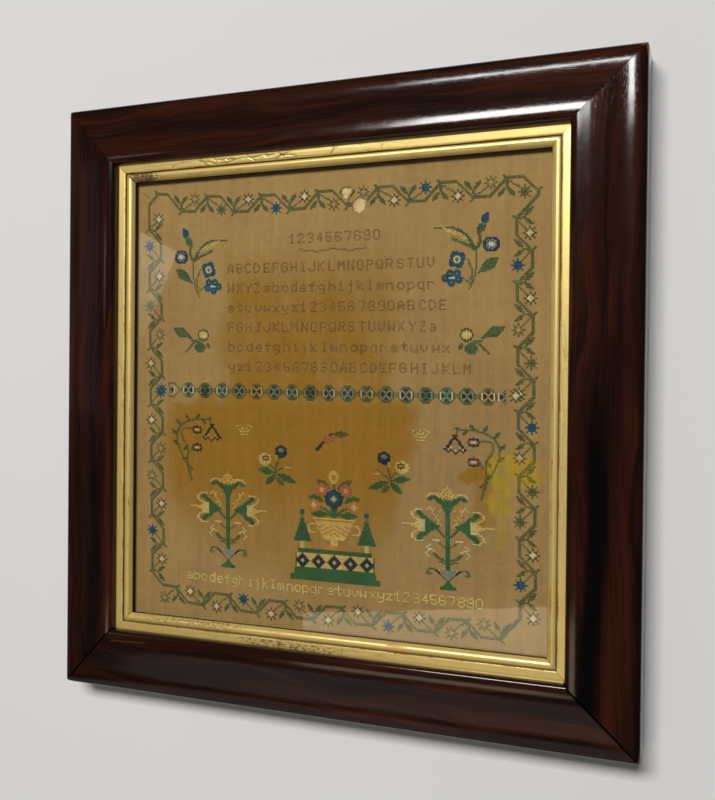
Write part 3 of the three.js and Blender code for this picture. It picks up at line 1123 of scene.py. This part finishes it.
def dividing_band():
    """Roundels in two strands that cross between them: rows at swing cos(pi x / pitch)."""
    chart, pitch, level, swing = Chart(), 14, 5, 5.2
    left, right, first, count = -127, 125, -110, 17
    x = np.arange(left, right + 1)
    for side in (-1, 1):
        wave = side * swing * np.cos(math.pi * (x - first) / pitch)
        chart.line(np.stack([x, level + wave], axis=-1), "moss")
    for number in range(count):
        centre = first + number * pitch
        chart.oval((centre, level), (5.9, 4.8), "moss", hollow=True)
        legend = {"e": ("cream", "mist")[number % 2],
                  "l": ("mist", "tan", "mist", "sage")[(number * 3 + number // 3) % 4],
                  "k": ("ink", "teal", "navy")[(number * 5 + number // 4) % 3]}
        chart.rows(ROUNDEL, legend, (centre - 4, level + 3))
    half = Chart()
    half.rows([row[4:] for row in ROUNDEL[1:6]], {"e": "cream", "l": "mist", "k": "ink"}, (0, 2))
    chart.add(copies(half, (left + 1, level, 1), (right, level, -1)))
    return chart


def upper_sprig():
    """A spray with a wheat leaf, two blue flowers, a cluster, a side flower and a bud. Its
    origin is where the stems part."""
    chart = worked("""
        curve moss 0,0 0,-12 0,-18 6,-26; curve moss 6,-6 2,-12 3,-16 4,-20;
        line moss 11,-17 5,-21; curve:2 moss 0,0 -4,5 -3,8 -2,12;
        curve:2 sage 1,0 4,12 14,17 28,15; curve:2 sage 1,0 6,5 11,5 16,8""")
    for way in range(6, 22, 2):  # the wheat leaf's grains
        chart.line([(way, 4 + way * 0.42), (way + 2, 7 + way * 0.38)], "straw")
    chart.work("""leaf:4 sage -1,10 -6,18; leaf:4.4 blue -4,16 -8,23; dots mist -5,16 -4,17;
        oval navy -10,3 5.6,4.9""")
    chart.fill(lambda x, y: (np.hypot(x + 10, y - 3) < 4) & ((x + y) % 3 != 0), (-15, -2, -5, 8),
               "mist")

    def petals(x, y):
        east, north = x - 13 + 0.3 * (y + 6), y + 6 - 0.3 * (x - 13)
        return (np.maximum(np.abs(east), np.abs(north)) < 5.2) & (np.hypot(east, north) < 6.2)

    chart.fill(petals, (6, -13, 20, 1), "blue")
    chart.work("""oval white -10,3 2.2,1.8; dots navy 9,-2 17,-10 13,-1 12,-11;
        ring straw 13,-6 2.3,2.3; dots sage 13,-6 12,-6;
        oval blue 13,-15 2.9,2.7; dots mist 13,-15; oval teal 18,-15 2.9,2.7; dots mist 18,-15;
        oval teal 21,-18 2.9,2.7; dots mist 21,-18; oval blue 17,-21 2.9,2.7; dots mist 17,-21;
        oval blue 12,-19 2.9,2.7; dots mist 12,-19;
        line white 15,-18 18,-18; blade:6 sage -1,-15 -14,-6""")
    return chart


def small_sprig():
    """Two leaves and a round bud on a bent stem."""
    return worked("""
        curve moss 9,2 4,0 -1,-3 -5,-9; blade:6 sage 0,2 -15,9; line moss -13,8 -4,4;
        oval sage 7,-5 4.8,3.6; line moss 0,0 7,-1; line mist -1,1 6,1; ring olive 10,4 4.4,4.2;
        oval straw 10,4 3.3,3.1; dots cream 9,4 11,5 10,3 12,4; leaf:2 moss 13,-2 15,-5""")


def hanging_spray():
    """A tall bent double stem with small leaves, two outlined buds and a bell."""
    return worked("""
        curve moss 0,0 -2,14 -14,22 -12,34; curve moss -12,34 -9,44 4,46 15,45;
        curve moss 1,8 -9,14 2,20 -7,30; curve moss -7,30 -11,38 -4,40 2,37;
        leaf:1.4 sage -3,16 -7,15; leaf:1.4 sage -11,26 -15,28; leaf:1.4 sage -12,33 -16,36;
        leaf:1.4 sage -9,40 -12,44; leaf:1.4 sage -2,44 -4,48; leaf:1.4 sage 4,45 7,48;
        leaf:1.4 sage 9,45 12,42; leaf:1.4 sage 14,45 17,46; leaf:1.4 sage -6,22 -3,25;
        curve moss -1,20 0,23 1,24 2,24;
        ring ink 5,37 4.2,3; line white 4,37 6,37; ring ink 5,24 4.2,3; line white 4,24 6,24;
        line moss 15,45 17,42 17,40; line:2 ink 16,41 18,41;
        line:2 ink 17,40 14,37 12,33 10,32; line:2 ink 17,40 20,37 22,33 24,32;
        dots white 12,32 14,33 17,31 20,33 22,32;
        line ink 10,32 12,30 14,32 17,29 20,32 22,30 24,32""")


def crown():
    """A small open crown in outline, over a bar."""
    return worked("""
        line straw -3,5 -6,3 -3,0 3,0 6,3 3,5; line straw -3,1 -2,3 0,2 2,3 3,1;
        line straw -3,-2 3,-2; dots straw 0,4 0,5 -6,4 6,4""")


def bird():
    """A small bird on a slanting twig, with a leaf at its head."""
    return worked("""
        line:2 ink -10,-9 -6,-5 -2,-1 1,2; line navy -9,-10 -6,-7; oval pink -1,-2 4.2,2.6;
        line:2 pink 1,-1 5,1; dots orange 0,-3 -2,-3; leaf:3.4 moss 3,2 14,2""")


def flower_sprig():
    """A dark flower with a light centre, a yellow flower, a bud and broad leaves."""
    return worked("""
        curve green -2,-4 -4,-8 -4,-14 -6,-18; line green -12,-7 -5,-13; line green 2,-10 -4,-15;
        leaf:3.8 green -6,-15 -18,-13; leaf:4 green -5,-17 -12,-23;
        leaf:3.6 green -3,-16 11,-21; leaf:3 moss -4,-19 2,-23;
        oval navy 0,0 4.6,4.2; oval mist 0,1 2.3,1.6; line:2 yellow -4,-3 -4,-6;
        oval straw -13,-6 5,4.2; ring olive -12,-5 2.6,2;
        dots cream -17,-4 -9,-3 -14,-2 -11,-9 -16,-7; line pink 2,-10 4,-8 8,-8;
        line straw 3,-11 7,-11""")


POT_FOOT = np.array([5, 5, 3, 2, 1])  # half widths of the rows of the pot's foot


def potted_plant():
    """A tree of lilies in a chequered pot. The origin is the middle of the pot's foot."""
    half = Chart()
    half.fill(lambda x, y: (x <= 1) & (y >= 12), (0, 12, 1, 52), "green")
    half.fill(lambda x, y: x <= POT_FOOT[y], (0, 0, 5, 4), "green")
    # faded leaves and pale curls low on the stem, and the stalk of the side lily
    half.work("""
        curve sage 8,12 12,14 16,12 14,9; dots sage 13,9 12,10; curve:2 moss 2,19 5,20 8,21 9,24;
        line moss 2,17 6,18; line moss 2,28 6,30; line cream 12,29 14,27 13,26 9,25;
        line cream 13,25 15,23 13,21; line cream 6,32 10,32; line:2 green 2,35 7,40""")
    # the side lily: a trumpet with two horns, a scalloped edge and a pointed middle
    half.fill(lambda x, y: np.abs(y - 41.5) <= (x - 4) * 0.42, (6, 36, 16, 47), "green")
    half.work("curve:3 green 13,44 16,46 18,49 21,50; curve:3 green 13,38 16,36 18,34 21,32")
    half.fill(lambda x, y: np.abs(y - 41.5) <= 4.4 - (x - 16) * 0.42, (16, 37, 26, 46), "straw")
    half.work("line straw 26,42 31,42; line cream 16,45 18,43 17,42 19,41 17,40 18,39 16,38")
    scroll = np.array([(17, 52), (21, 52), (23.5, 50), (24, 48), (22, 46), (19, 45), (17, 43.5)])
    for edge in (scroll, scroll * (1, -1) + (0, 83)):
        half.line(edge, "straw", 2)
        half.put(edge[1::2], "cream")
    # an ear under two small arches
    half.work("""
        line straw 4,42 10,50; dots orange 4,44 6,46 8,48 6,43 8,45 10,47 5,41 9,51;
        dots straw 7,43 9,46 5,46 7,48; line straw 5,52 7,54 9,53 10,51 12,54 14,52;
        line orange 6,53 8,54""")
    # the head
    half.fill(lambda x, y: x <= 1.5 + (y - 50) * 0.45, (0, 50, 6, 58), "green")
    half.work("curve:3 green 4,57 7,59 10,62 12,59; curve straw 3,60 6,62 11,66 14,60")
    half.fill(lambda x, y: y - x == 58, (0, 58, 3, 61), "green")
    half.fill(lambda x, y: (x <= (69 - y) * 0.85) & ((x + 2 * y) % 3 > 0), (0, 61, 6, 69), "straw")
    half.fill(lambda x, y: (x <= (68 - y) * 0.8) & ((x + y) % 4 == 1), (0, 61, 5, 68), "orange")
    half.work("dots straw 1,60 2,61 3,62 5,61")
    chart = copies(half, (0, 0, -1), (0, 0, 1))
    box = (-9, 5, 9, 12)
    chart.fill(lambda x, y: np.abs(x) <= (y - 5) * 1.2, box, "ink")
    chart.fill(lambda x, y: (np.abs(x) <= (y - 5) * 1.2 - 1) & ((x + y) % 2 == 0), box, "white")
    return chart


def urn_on_steps():
    """A generic middle motif: an urn of flowers between two clipped trees, on green steps
    with a diamond band. The origin is the middle of the lowest step."""
    half = Chart()

    def fill(thread, box, inside=lambda x, y: x == x):
        half.fill(inside, box, thread)

    def from_diamond(x, y):
        """|x| + |y| from the middle of the nearest diamond of the band."""
        return np.abs((x + 6) % 12 - 6) + np.abs(y - 13)

    def in_tree(x, y):
        return np.abs(x - 24) <= (45 - y) * 0.36

    band, tree = (0, 8, 28, 18), (16, 27, 32, 45)
    for low, high, wide in ((0, 3, 33), (4, 7, 30), (19, 21, 27)):
        fill("green", (0, low, wide, high))
    fill("straw", band)
    fill("navy", band, lambda x, y: from_diamond(x, y) <= 5)
    fill("straw", band, lambda x, y: from_diamond(x, y) <= 1)
    half.work("line green 0,8 28,8; line green 29,8 29,18")
    fill("orange", (0, 22, 8, 24), lambda x, y: x <= 7 - (y - 22))
    fill("straw", (0, 25, 2, 28))
    fill("straw", (0, 29, 15, 41), lambda x, y: x <= 5 + 9 * np.sqrt((y - 28) / 13.0))
    fill("orange", (0, 32, 11, 38), lambda x, y: (x // 2 + y) % 3 == 0)
    half.work("""
        line orange 0,42 16,42; line straw 0,43 15,43; curve straw 14,39 21,40 22,32 13,33;
        curve:2 green 0,44 4,50 10,52 14,50; curve:2 green 0,44 0,52 5,58 9,62;
        line green 0,44 0,70; leaf:3.6 green 4,46 17,46; leaf:4 green 8,55 19,58;
        leaf:3.6 moss 3,64 13,70; oval orange 15,52 4.6,4.4; oval cream 15,52 2,2;
        oval pink 9,63 4.6,4.4; oval straw 9,63 1.8,1.8; oval navy 0,57 6.6,6.2;
        oval blue 0,57 5.4,5; oval straw 0,57 2,2; oval straw 0,72 4,4.4; oval orange 0,72 1.8,1.8
        """)
    fill("straw", (23, 22, 25, 27))
    fill("green", tree, in_tree)
    fill("teal", tree, lambda x, y: in_tree(x, y) & ((x * 3 + y * 2) % 7 == 0))
    half.oval((24, 47), (1.6, 1.6), "blue")
    return copies(half, (0, 0, -1), (0, 0, 1))


# Plain letters and numerals as strokes. Each pair of digits is a place: across, then up,
# with the writing line at 2. A comma lifts the needle.
LETTERS = {word[0]: word[1:].split(",") for word in """
    A020628464205,0545 B02083847463505,3544433202 C4738180703123243 D02082846442202
    E48080242,0535 F480802,0535 G47381807031232434525 H0208,4248,0545 I1232,1838,2228
    J4843321203 K0208,480542 L080242 M0208254842 N02084248 O030718384743321203
    P02083847463505 Q030718384743321203,2442 R02083847463505,2542 S473818070615354443321203
    T0848,2822 U080312324348 V0804224448 W0802254248 X0248,0842 Y0807254748,2522 Z08480242
    a1636454212031444 b08023243453606 c4536160503123243 d48421203051646 e044445361605031242
    f48382722,0646 g45361605041343,46413010 h0208,0516364542 i1232,162622,2828
    j16262110,2828 k0208,360442 l182822,1232 m0206,05162522,25364542 n0206,0516364542
    o030516364543321203 p00063645433202 q40461605031242 r0206,04163645
    s45361605143443321203 t28233243,0646 u0603123243,4642 v0604224446 w0602244246
    x0246,0642 y06041343,46413010 z06460242
    0030718384743321203 1062822,1232 207183847460242 307183847463525,3544433212 432380444
    5480805354443321203 64738180703123243443505 708484622
    81506071838474635150403123243443515 90312324347381807061545
""".split()}


def lettered(chart, text, left, right, line, thread):
    """Letters of text set evenly from left to right on a writing line."""
    for letter, at in zip(text, np.round(np.linspace(left, right - 4, len(text)))):
        for stroke in LETTERS[letter]:
            marks = np.array([int(mark) for mark in stroke]).reshape(-1, 2)
            chart.line(marks + (at, line - 2), thread)


ROWS = ((78, 22), (78, 22), (86, 23), (79, 22), (88, 23), (102, 25))  # right end, letters


def lettered_rows():
    """A heading of numerals over a wavy underline, six rows that run through the alphabet
    in capitals and small letters and the numerals, and a straw row at the foot."""
    chart = Chart()
    capitals, numerals = "ABCDEFGHIJKLMNOPQRSTUVWXYZ", "1234567890"
    small = capitals.lower()
    running = iter((capitals + small + numerals) * 3)
    lettered(chart, numerals, -27, 40, 110, "brown")
    x = np.arange(-19, 31)
    chart.line(np.stack([x, 104 + 0.6 * np.sin(x / 4)], axis=-1), "brown")
    for number, (right, count) in enumerate(ROWS):
        row = [next(running) for _ in range(count)]
        lettered(chart, row, -76, right, 90 - 14 * number, "brown")
    lettered(chart, small + numerals, -112, 109, -134, "straw")
    return chart


def stretched(column, row, pitch):
    """Where the counted grid lies on the uneven cloth: it leans, its middle runs downhill to
    the right, and its top and bottom rise towards the left corners. In metres."""
    x, y = column * pitch, row * pitch
    left = np.maximum(0, (-x - 0.030) / 0.140) ** 2
    edge = (y / 0.190) ** 2
    return x - 0.02 * y, y + left * edge * (0.007 + 0.002 * y / 0.190) - 0.012 * x * (1 - edge)


# One leg of a cross as (along, across, up) shares: a ring of four points at its raised middle
# and a flat tip at each end, with its quads and its triangles
LEG = np.array([
    (-1, -0.72, 0.02), (-1, 0.72, 0.02),
    (0, -1, -0.1), (0, -0.52, 0.9), (0, 0.52, 0.9), (0, 1, -0.1),
    (1, -0.72, 0.02), (1, 0.72, 0.02),
])
LEG_FACES = (np.array([(0, 3, 4, 1), (3, 6, 7, 4), (1, 5, 2, 0), (5, 7, 6, 2)]),
             np.array([(0, 2, 3), (2, 6, 3), (1, 4, 5), (5, 4, 7)]))


# How a cross varies: off its place and in its thread's width, as shares, in its tone, and how
# much of its cell a leg crosses each way from the middle
OFF_PLACE, WIDTHS, TONE_SPREAD, LEG_REACH = 0.035, (0.86, 1.14), 0.085, 0.54
FIRST_LEG, SECOND_OVER = 0.62, 0.15  # the first leg's share of the rise, and the second's lift


def stitch(name, chart, sizes, cloth, look, seed):
    """A piece of cross stitch as one mesh: every cross is two legs, from corner to corner of
    its cell, the second over the first, each a little off true."""
    places, threads = chart.final()
    x, y = stretched(places[:, 0], places[:, 1], sizes.pitch)
    whole = np.ones(len(x), bool)
    for _, way, _, reach in from_tears(x, y):
        whole &= way > reach + 0.7 * sizes.pitch
    x, y, threads = x[whole], y[whole], threads[whole]
    count = len(x)
    random = np.random.default_rng(seed)
    along, across, up = LEG.T
    ground = cloth_height(x, y, cloth.face)[:, None]
    legs = []
    for order, slant in enumerate((1, -1)):
        x_off, y_off = random.normal(0, OFF_PLACE * sizes.pitch, (2, count, 1))
        girth = sizes.girth / 2 * random.uniform(*WIDTHS, (count, 1))
        ahead, aside = along * sizes.pitch * LEG_REACH, across * girth * math.sqrt(0.5)
        rise = up * (1 if order else FIRST_LEG) + (1 - np.abs(along)) * order * SECOND_OVER
        legs.append(np.stack([x[:, None] + x_off + ahead - slant * aside,
                              y[:, None] + y_off + slant * ahead + aside,
                              ground + rise * sizes.rise], axis=-1))
    tones = np.array([getattr(sizes, thread) for thread in THREADS])[threads]
    fade = random.normal(1.0, TONE_SPREAD, (count, 1)) * (
        1 + 0.10 * np.sin(x * 37 + y * 61)[:, None] * np.sin(x * 113 - y * 29)[:, None])
    shade = np.concatenate([np.clip(tones * fade, 0, 1), np.ones((count, 1))], axis=1)
    start = (np.arange(2 * count) * len(LEG))[:, None, None]
    faces = [(part + start).reshape(-1, part.shape[1]).tolist() for part in LEG_FACES]
    piece = piece_from(name, np.concatenate(legs), sum(faces, []), look)
    attributes(piece.data, thread=np.tile(np.repeat(shade, len(LEG), axis=0), (2, 1)),
               twist=np.tile(along * 1.5 + across * 0.5, 2 * count))


def thread_look(sizes):
    """Twisted wool or silk: the thread's own colour from 'thread', dulled by the cloth's
    stains, with plies that wind round it, in relief and in painted shade, and a fine fuzz."""
    look = Look("stitch_thread")
    brown, yellow = stain_masks(look)
    tone = look.blend(brown * 0.55, look.field("thread", output="Color"),
                      TONES["stained thread"], "MULTIPLY")
    tone = look.blend(yellow * 0.5, tone, sizes.yellow)
    ply = (look.field("twist") * 9.0).sine()
    fuzz = look.noise(look.place(), 2600, 2, 0.6)
    return look.finish(
        # the ply term is painted shade of the twist between plies; the fuzz is the thread's own
        # tone
        Base_Color=look.shaded(tone, 0.88 + ply * 0.10 + fuzz * 0.1), Roughness=0.6,
        Normal=look.bump(ply * 0.5 + fuzz, 0.08 * MM, 0.6), Specular_IOR_Level=0.25,
    )


# Where each motif stands: its piece, its chart, and its places as across, up and -1 where it
# is mirrored
MOTIFS = (
    ("stitched_border_flowers", lambda: star("blue"), (-133, 5, 1)),
    ("stitched_border_flowers", lambda: star("cream"), (132, 6, 1)),
    ("stitched_dividing_band", dividing_band, (0, 0, 1)),
    ("stitched_upper_sprigs", upper_sprig, (-105, 98, 1), (107, 100, -1)),
    ("stitched_upper_sprigs", small_sprig, (-107, 41, 1), (110, 41, -1)),
    ("stitched_sprays", hanging_spray, (-108, -61, 1), (109, -62, -1)),
    ("stitched_sprays", crown, (-64, -24, 1), (68, -23, -1)),
    ("stitched_sprays", bird, (2, -25, 1)),
    ("stitched_sprays", flower_sprig, (-35, -37, 1), (42, -38, -1)),
    ("stitched_potted_plants", potted_plant, (-78, -122, 1), (86, -123, -1)),
    ("stitched_rows", lettered_rows, (0, 0, 1)),
    ("stitched_middle", urn_on_steps, (5, -125, 1)),
)


def stitched_pieces():
    """Every piece of stitching: its name and its chart."""
    vine, flowers = border()
    pieces = {"stitched_border_vine": vine, "stitched_border_flowers": flowers}
    for name, motif, *places in MOTIFS:
        pieces.setdefault(name, Chart()).add(copies(motif(), *places))
    return pieces


# ---- the stage

def floor_look(sizes):
    """A pale wash with painted light: a little paler towards the sampler's foot and its left."""
    look = Look("floor")
    x, y, _ = look.parts(look.place())
    cloud = look.noise(look.place(), 1.6, 3)
    # painted light: the floor's tone rises towards the foot and the left, in place of light that
    # falls off unevenly
    pale = (0.855 - y * 0.28 - x * 0.06 + cloud * 0.04).least(1.1).most(0.6)
    return look.finish(Base_Color=look.shaded(sizes.floor, pale), Roughness=0.9,
                       Normal=look.bump(look.noise(look.place(), 300, 2), 0.2 * MM, 0.1))


def add_to_scene(name, data):
    """A new object that holds data, in the scene."""
    item = bpy.data.objects.new(name, data)
    bpy.context.scene.collection.objects.link(item)
    return item


def build_floor(sizes):
    """A disc just under the frame: points at radius r and angle a, in rings that widen
    outwards."""
    rings, spokes = 12, 96
    radius = sizes.floor_radius * (np.arange(1, rings + 1) / rings)[:, None] ** 2
    angle = np.arange(spokes) * 2 * math.pi / spokes
    x, y = radius * np.cos(angle), radius * np.sin(angle)
    points = np.stack([x, y, np.full_like(x, -0.1 * MM)], axis=-1).reshape(-1, 3)
    faces = grid_faces(rings, spokes, closed=True)[:, ::-1].tolist() + [list(range(spokes))]
    mesh = bpy.data.meshes.new("floor")
    mesh.from_pydata(points.tolist(), [], faces)
    mesh.materials.append(floor_look(sizes))
    add_to_scene("floor", mesh)


def build_camera(sizes):
    """Over the frame and looking down. It is turned as if the frame stood upright before it:
    yawed, pitched and rolled."""
    pitch, roll, yaw = sizes.camera_turn
    data = bpy.data.cameras.new("camera")
    data.lens = sizes.lens
    data.clip_start = 0.01
    camera = add_to_scene("camera", data)
    turns = ((-math.pi / 2, "X"), (yaw, "Z"), (pitch, "X"), (roll, "Y"), (math.pi / 2, "X"))
    turned = Matrix.Identity(3)
    for angle, axis in turns:
        turned = turned @ Matrix.Rotation(angle, 3, axis)
    camera.matrix_world = Matrix.Translation(Vector(sizes.camera_place)) @ turned.to_4x4()
    bpy.context.scene.camera = camera


CARD_Z = 1.40  # height of the cards that only the glass reflects
LAMPS = (
    # name, place, turns about X, Y and Z in degrees, width, height, watts, colour
    ("window", (-0.06, 1.50, 2.80), (0, 0, 0), 1.62, 0.86, 104.0, (1.0, 0.985, 0.96)),
    ("foot_card", (-0.309, -0.6645, CARD_Z), (0, 0, 6.5), 0.656, 0.30, 0.85, (1.0, 0.89, 0.62)),
    *((f"wedge_{number}", (x, y, CARD_Z), (0, 0, -26), 0.21, 0.085, watts, (1.0, 0.96, 0.78))
      for number, (x, y, watts) in enumerate(
          ((-1.134, 0.385, 0.070), (-1.171, 0.309, 0.052), (-1.208, 0.233, 0.030)), 1)),
    ("foot_wall", (0.00, -1.30, 0.85), (90, 0, 0), 2.40, 1.20, 2.0, (1.0, 0.98, 0.96)),
    ("left_wall", (-1.50, 0.25, 0.45), (0, -90, 0), 0.80, 0.60, 0.12, (1.0, 0.98, 0.98)),
)
SKY_COLOUR, SKY_STRENGTH = (0.95, 0.97, 1.0, 1.0), 0.04


def build_lamps():
    """The lamps, a faint sky, and the plain display curve."""
    for name, place, turns, width, height, watts, tone in LAMPS:
        data = bpy.data.lights.new(name, "AREA")
        data.shape = "RECTANGLE"
        data.size, data.size_y = width, height
        data.energy, data.color = watts, tone
        lamp = add_to_scene(name, data)
        lamp.location = place
        lamp.rotation_euler = [math.radians(turn) for turn in turns]
        lamp.visible_camera = False
    scene = bpy.context.scene
    scene.world = bpy.data.worlds.new("studio")
    scene.world.use_nodes = True
    sky = scene.world.node_tree.nodes["Background"].inputs
    sky["Color"].default_value = SKY_COLOUR
    sky["Strength"].default_value = SKY_STRENGTH
    scene.view_settings.view_transform = "Standard"


# ---- operators

class SAMPLER_OT_stage(bpy.types.Operator):
    """Lay the floor and set the camera and the lamps."""

    bl_idname = "sampler.stage"
    bl_label = "Stage"

    def execute(self, context):
        sizes = context.scene.sampler_stage
        build_floor(sizes)
        build_camera(sizes)
        build_lamps()
        return {"FINISHED"}


class SAMPLER_OT_rails(bpy.types.Operator):
    """Run the four rails of the dark moulding."""

    bl_idname = "sampler.rails"
    bl_label = "Rails"

    def execute(self, context):
        build_rails(context.scene.sampler_moulding)
        return {"FINISHED"}


class SAMPLER_OT_slips(bpy.types.Operator):
    """Run the four gilt slips."""

    bl_idname = "sampler.slips"
    bl_label = "Slips"

    def execute(self, context):
        build_slips(context.scene.sampler_moulding)
        return {"FINISHED"}


class SAMPLER_OT_glazing(bpy.types.Operator):
    """Finish the glass and the backing board."""

    bl_idname = "sampler.glazing"
    bl_label = "Glass and Board"

    def execute(self, context):
        glass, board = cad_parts["glass"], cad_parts["backing_board"]
        looks = glass_look(), board_look(context.scene.sampler_cloth)
        for piece, look in zip((glass, board), looks):
            piece.data.materials.clear()
            piece.data.materials.append(look)
        # the lamps light the cloth unhindered
        glass.visible_shadow = glass.visible_diffuse = False
        return {"FINISHED"}


class SAMPLER_OT_cloth(bpy.types.Operator):
    """Stretch the cloth over the board, with its tears and frayed threads."""

    bl_idname = "sampler.cloth"
    bl_label = "Cloth"

    def execute(self, context):
        sizes = context.scene.sampler_cloth
        look = cloth_look(sizes)
        cloth = build_cloth_sheet(sizes, look)
        build_frayed_threads(sizes, look)
        return {"FINISHED"}


class SAMPLER_OT_stitches(bpy.types.Operator):
    """Work every motif in cross stitch."""

    bl_idname = "sampler.stitches"
    bl_label = "Stitches"

    def execute(self, context):
        scene = context.scene
        look = thread_look(scene.sampler_cloth)
        for seed, (name, chart) in enumerate(stitched_pieces().items(), 21):
            stitch(name, chart, scene.sampler_stitches, scene.sampler_cloth, look, seed)
        return {"FINISHED"}


class SAMPLER_PT_panel(bpy.types.Panel):
    """Lists the sampler's pieces and their sizes."""

    bl_label = "Sampler"
    bl_space_type = "VIEW_3D"
    bl_region_type = "UI"
    bl_category = "Sampler"

    def draw(self, context):
        for operator in OPERATORS:
            self.layout.operator(operator.bl_idname)
        for name, group in GROUPS.items():
            box = self.layout.box()
            for field in group.__annotations__:
                box.prop(getattr(context.scene, name), field)


OPERATORS = (SAMPLER_OT_stage, SAMPLER_OT_rails, SAMPLER_OT_slips, SAMPLER_OT_glazing,
             SAMPLER_OT_cloth, SAMPLER_OT_stitches)
GROUPS = {
    "sampler_moulding": SamplerMoulding,
    "sampler_cloth": SamplerCloth,
    "sampler_stitches": SamplerStitches,
    "sampler_stage": SamplerStage,
}


def register():
    for group in GROUPS.values():
        bpy.utils.register_class(group)
    for name, group in GROUPS.items():
        setattr(bpy.types.Scene, name, bpy.props.PointerProperty(type=group))
    for each in (*OPERATORS, SAMPLER_PT_panel):
        bpy.utils.register_class(each)


def unregister():
    for each in (SAMPLER_PT_panel, *reversed(OPERATORS)):
        bpy.utils.unregister_class(each)
    for name in GROUPS:
        delattr(bpy.types.Scene, name)
    for group in reversed(GROUPS.values()):
        bpy.utils.unregister_class(group)


def main():
    register()
    bpy.ops.sampler.stage()
    bpy.ops.sampler.rails()
    bpy.ops.sampler.slips()
    bpy.ops.sampler.glazing()
    bpy.ops.sampler.cloth()
    bpy.ops.sampler.stitches()


if __name__ == "__main__":
    main()
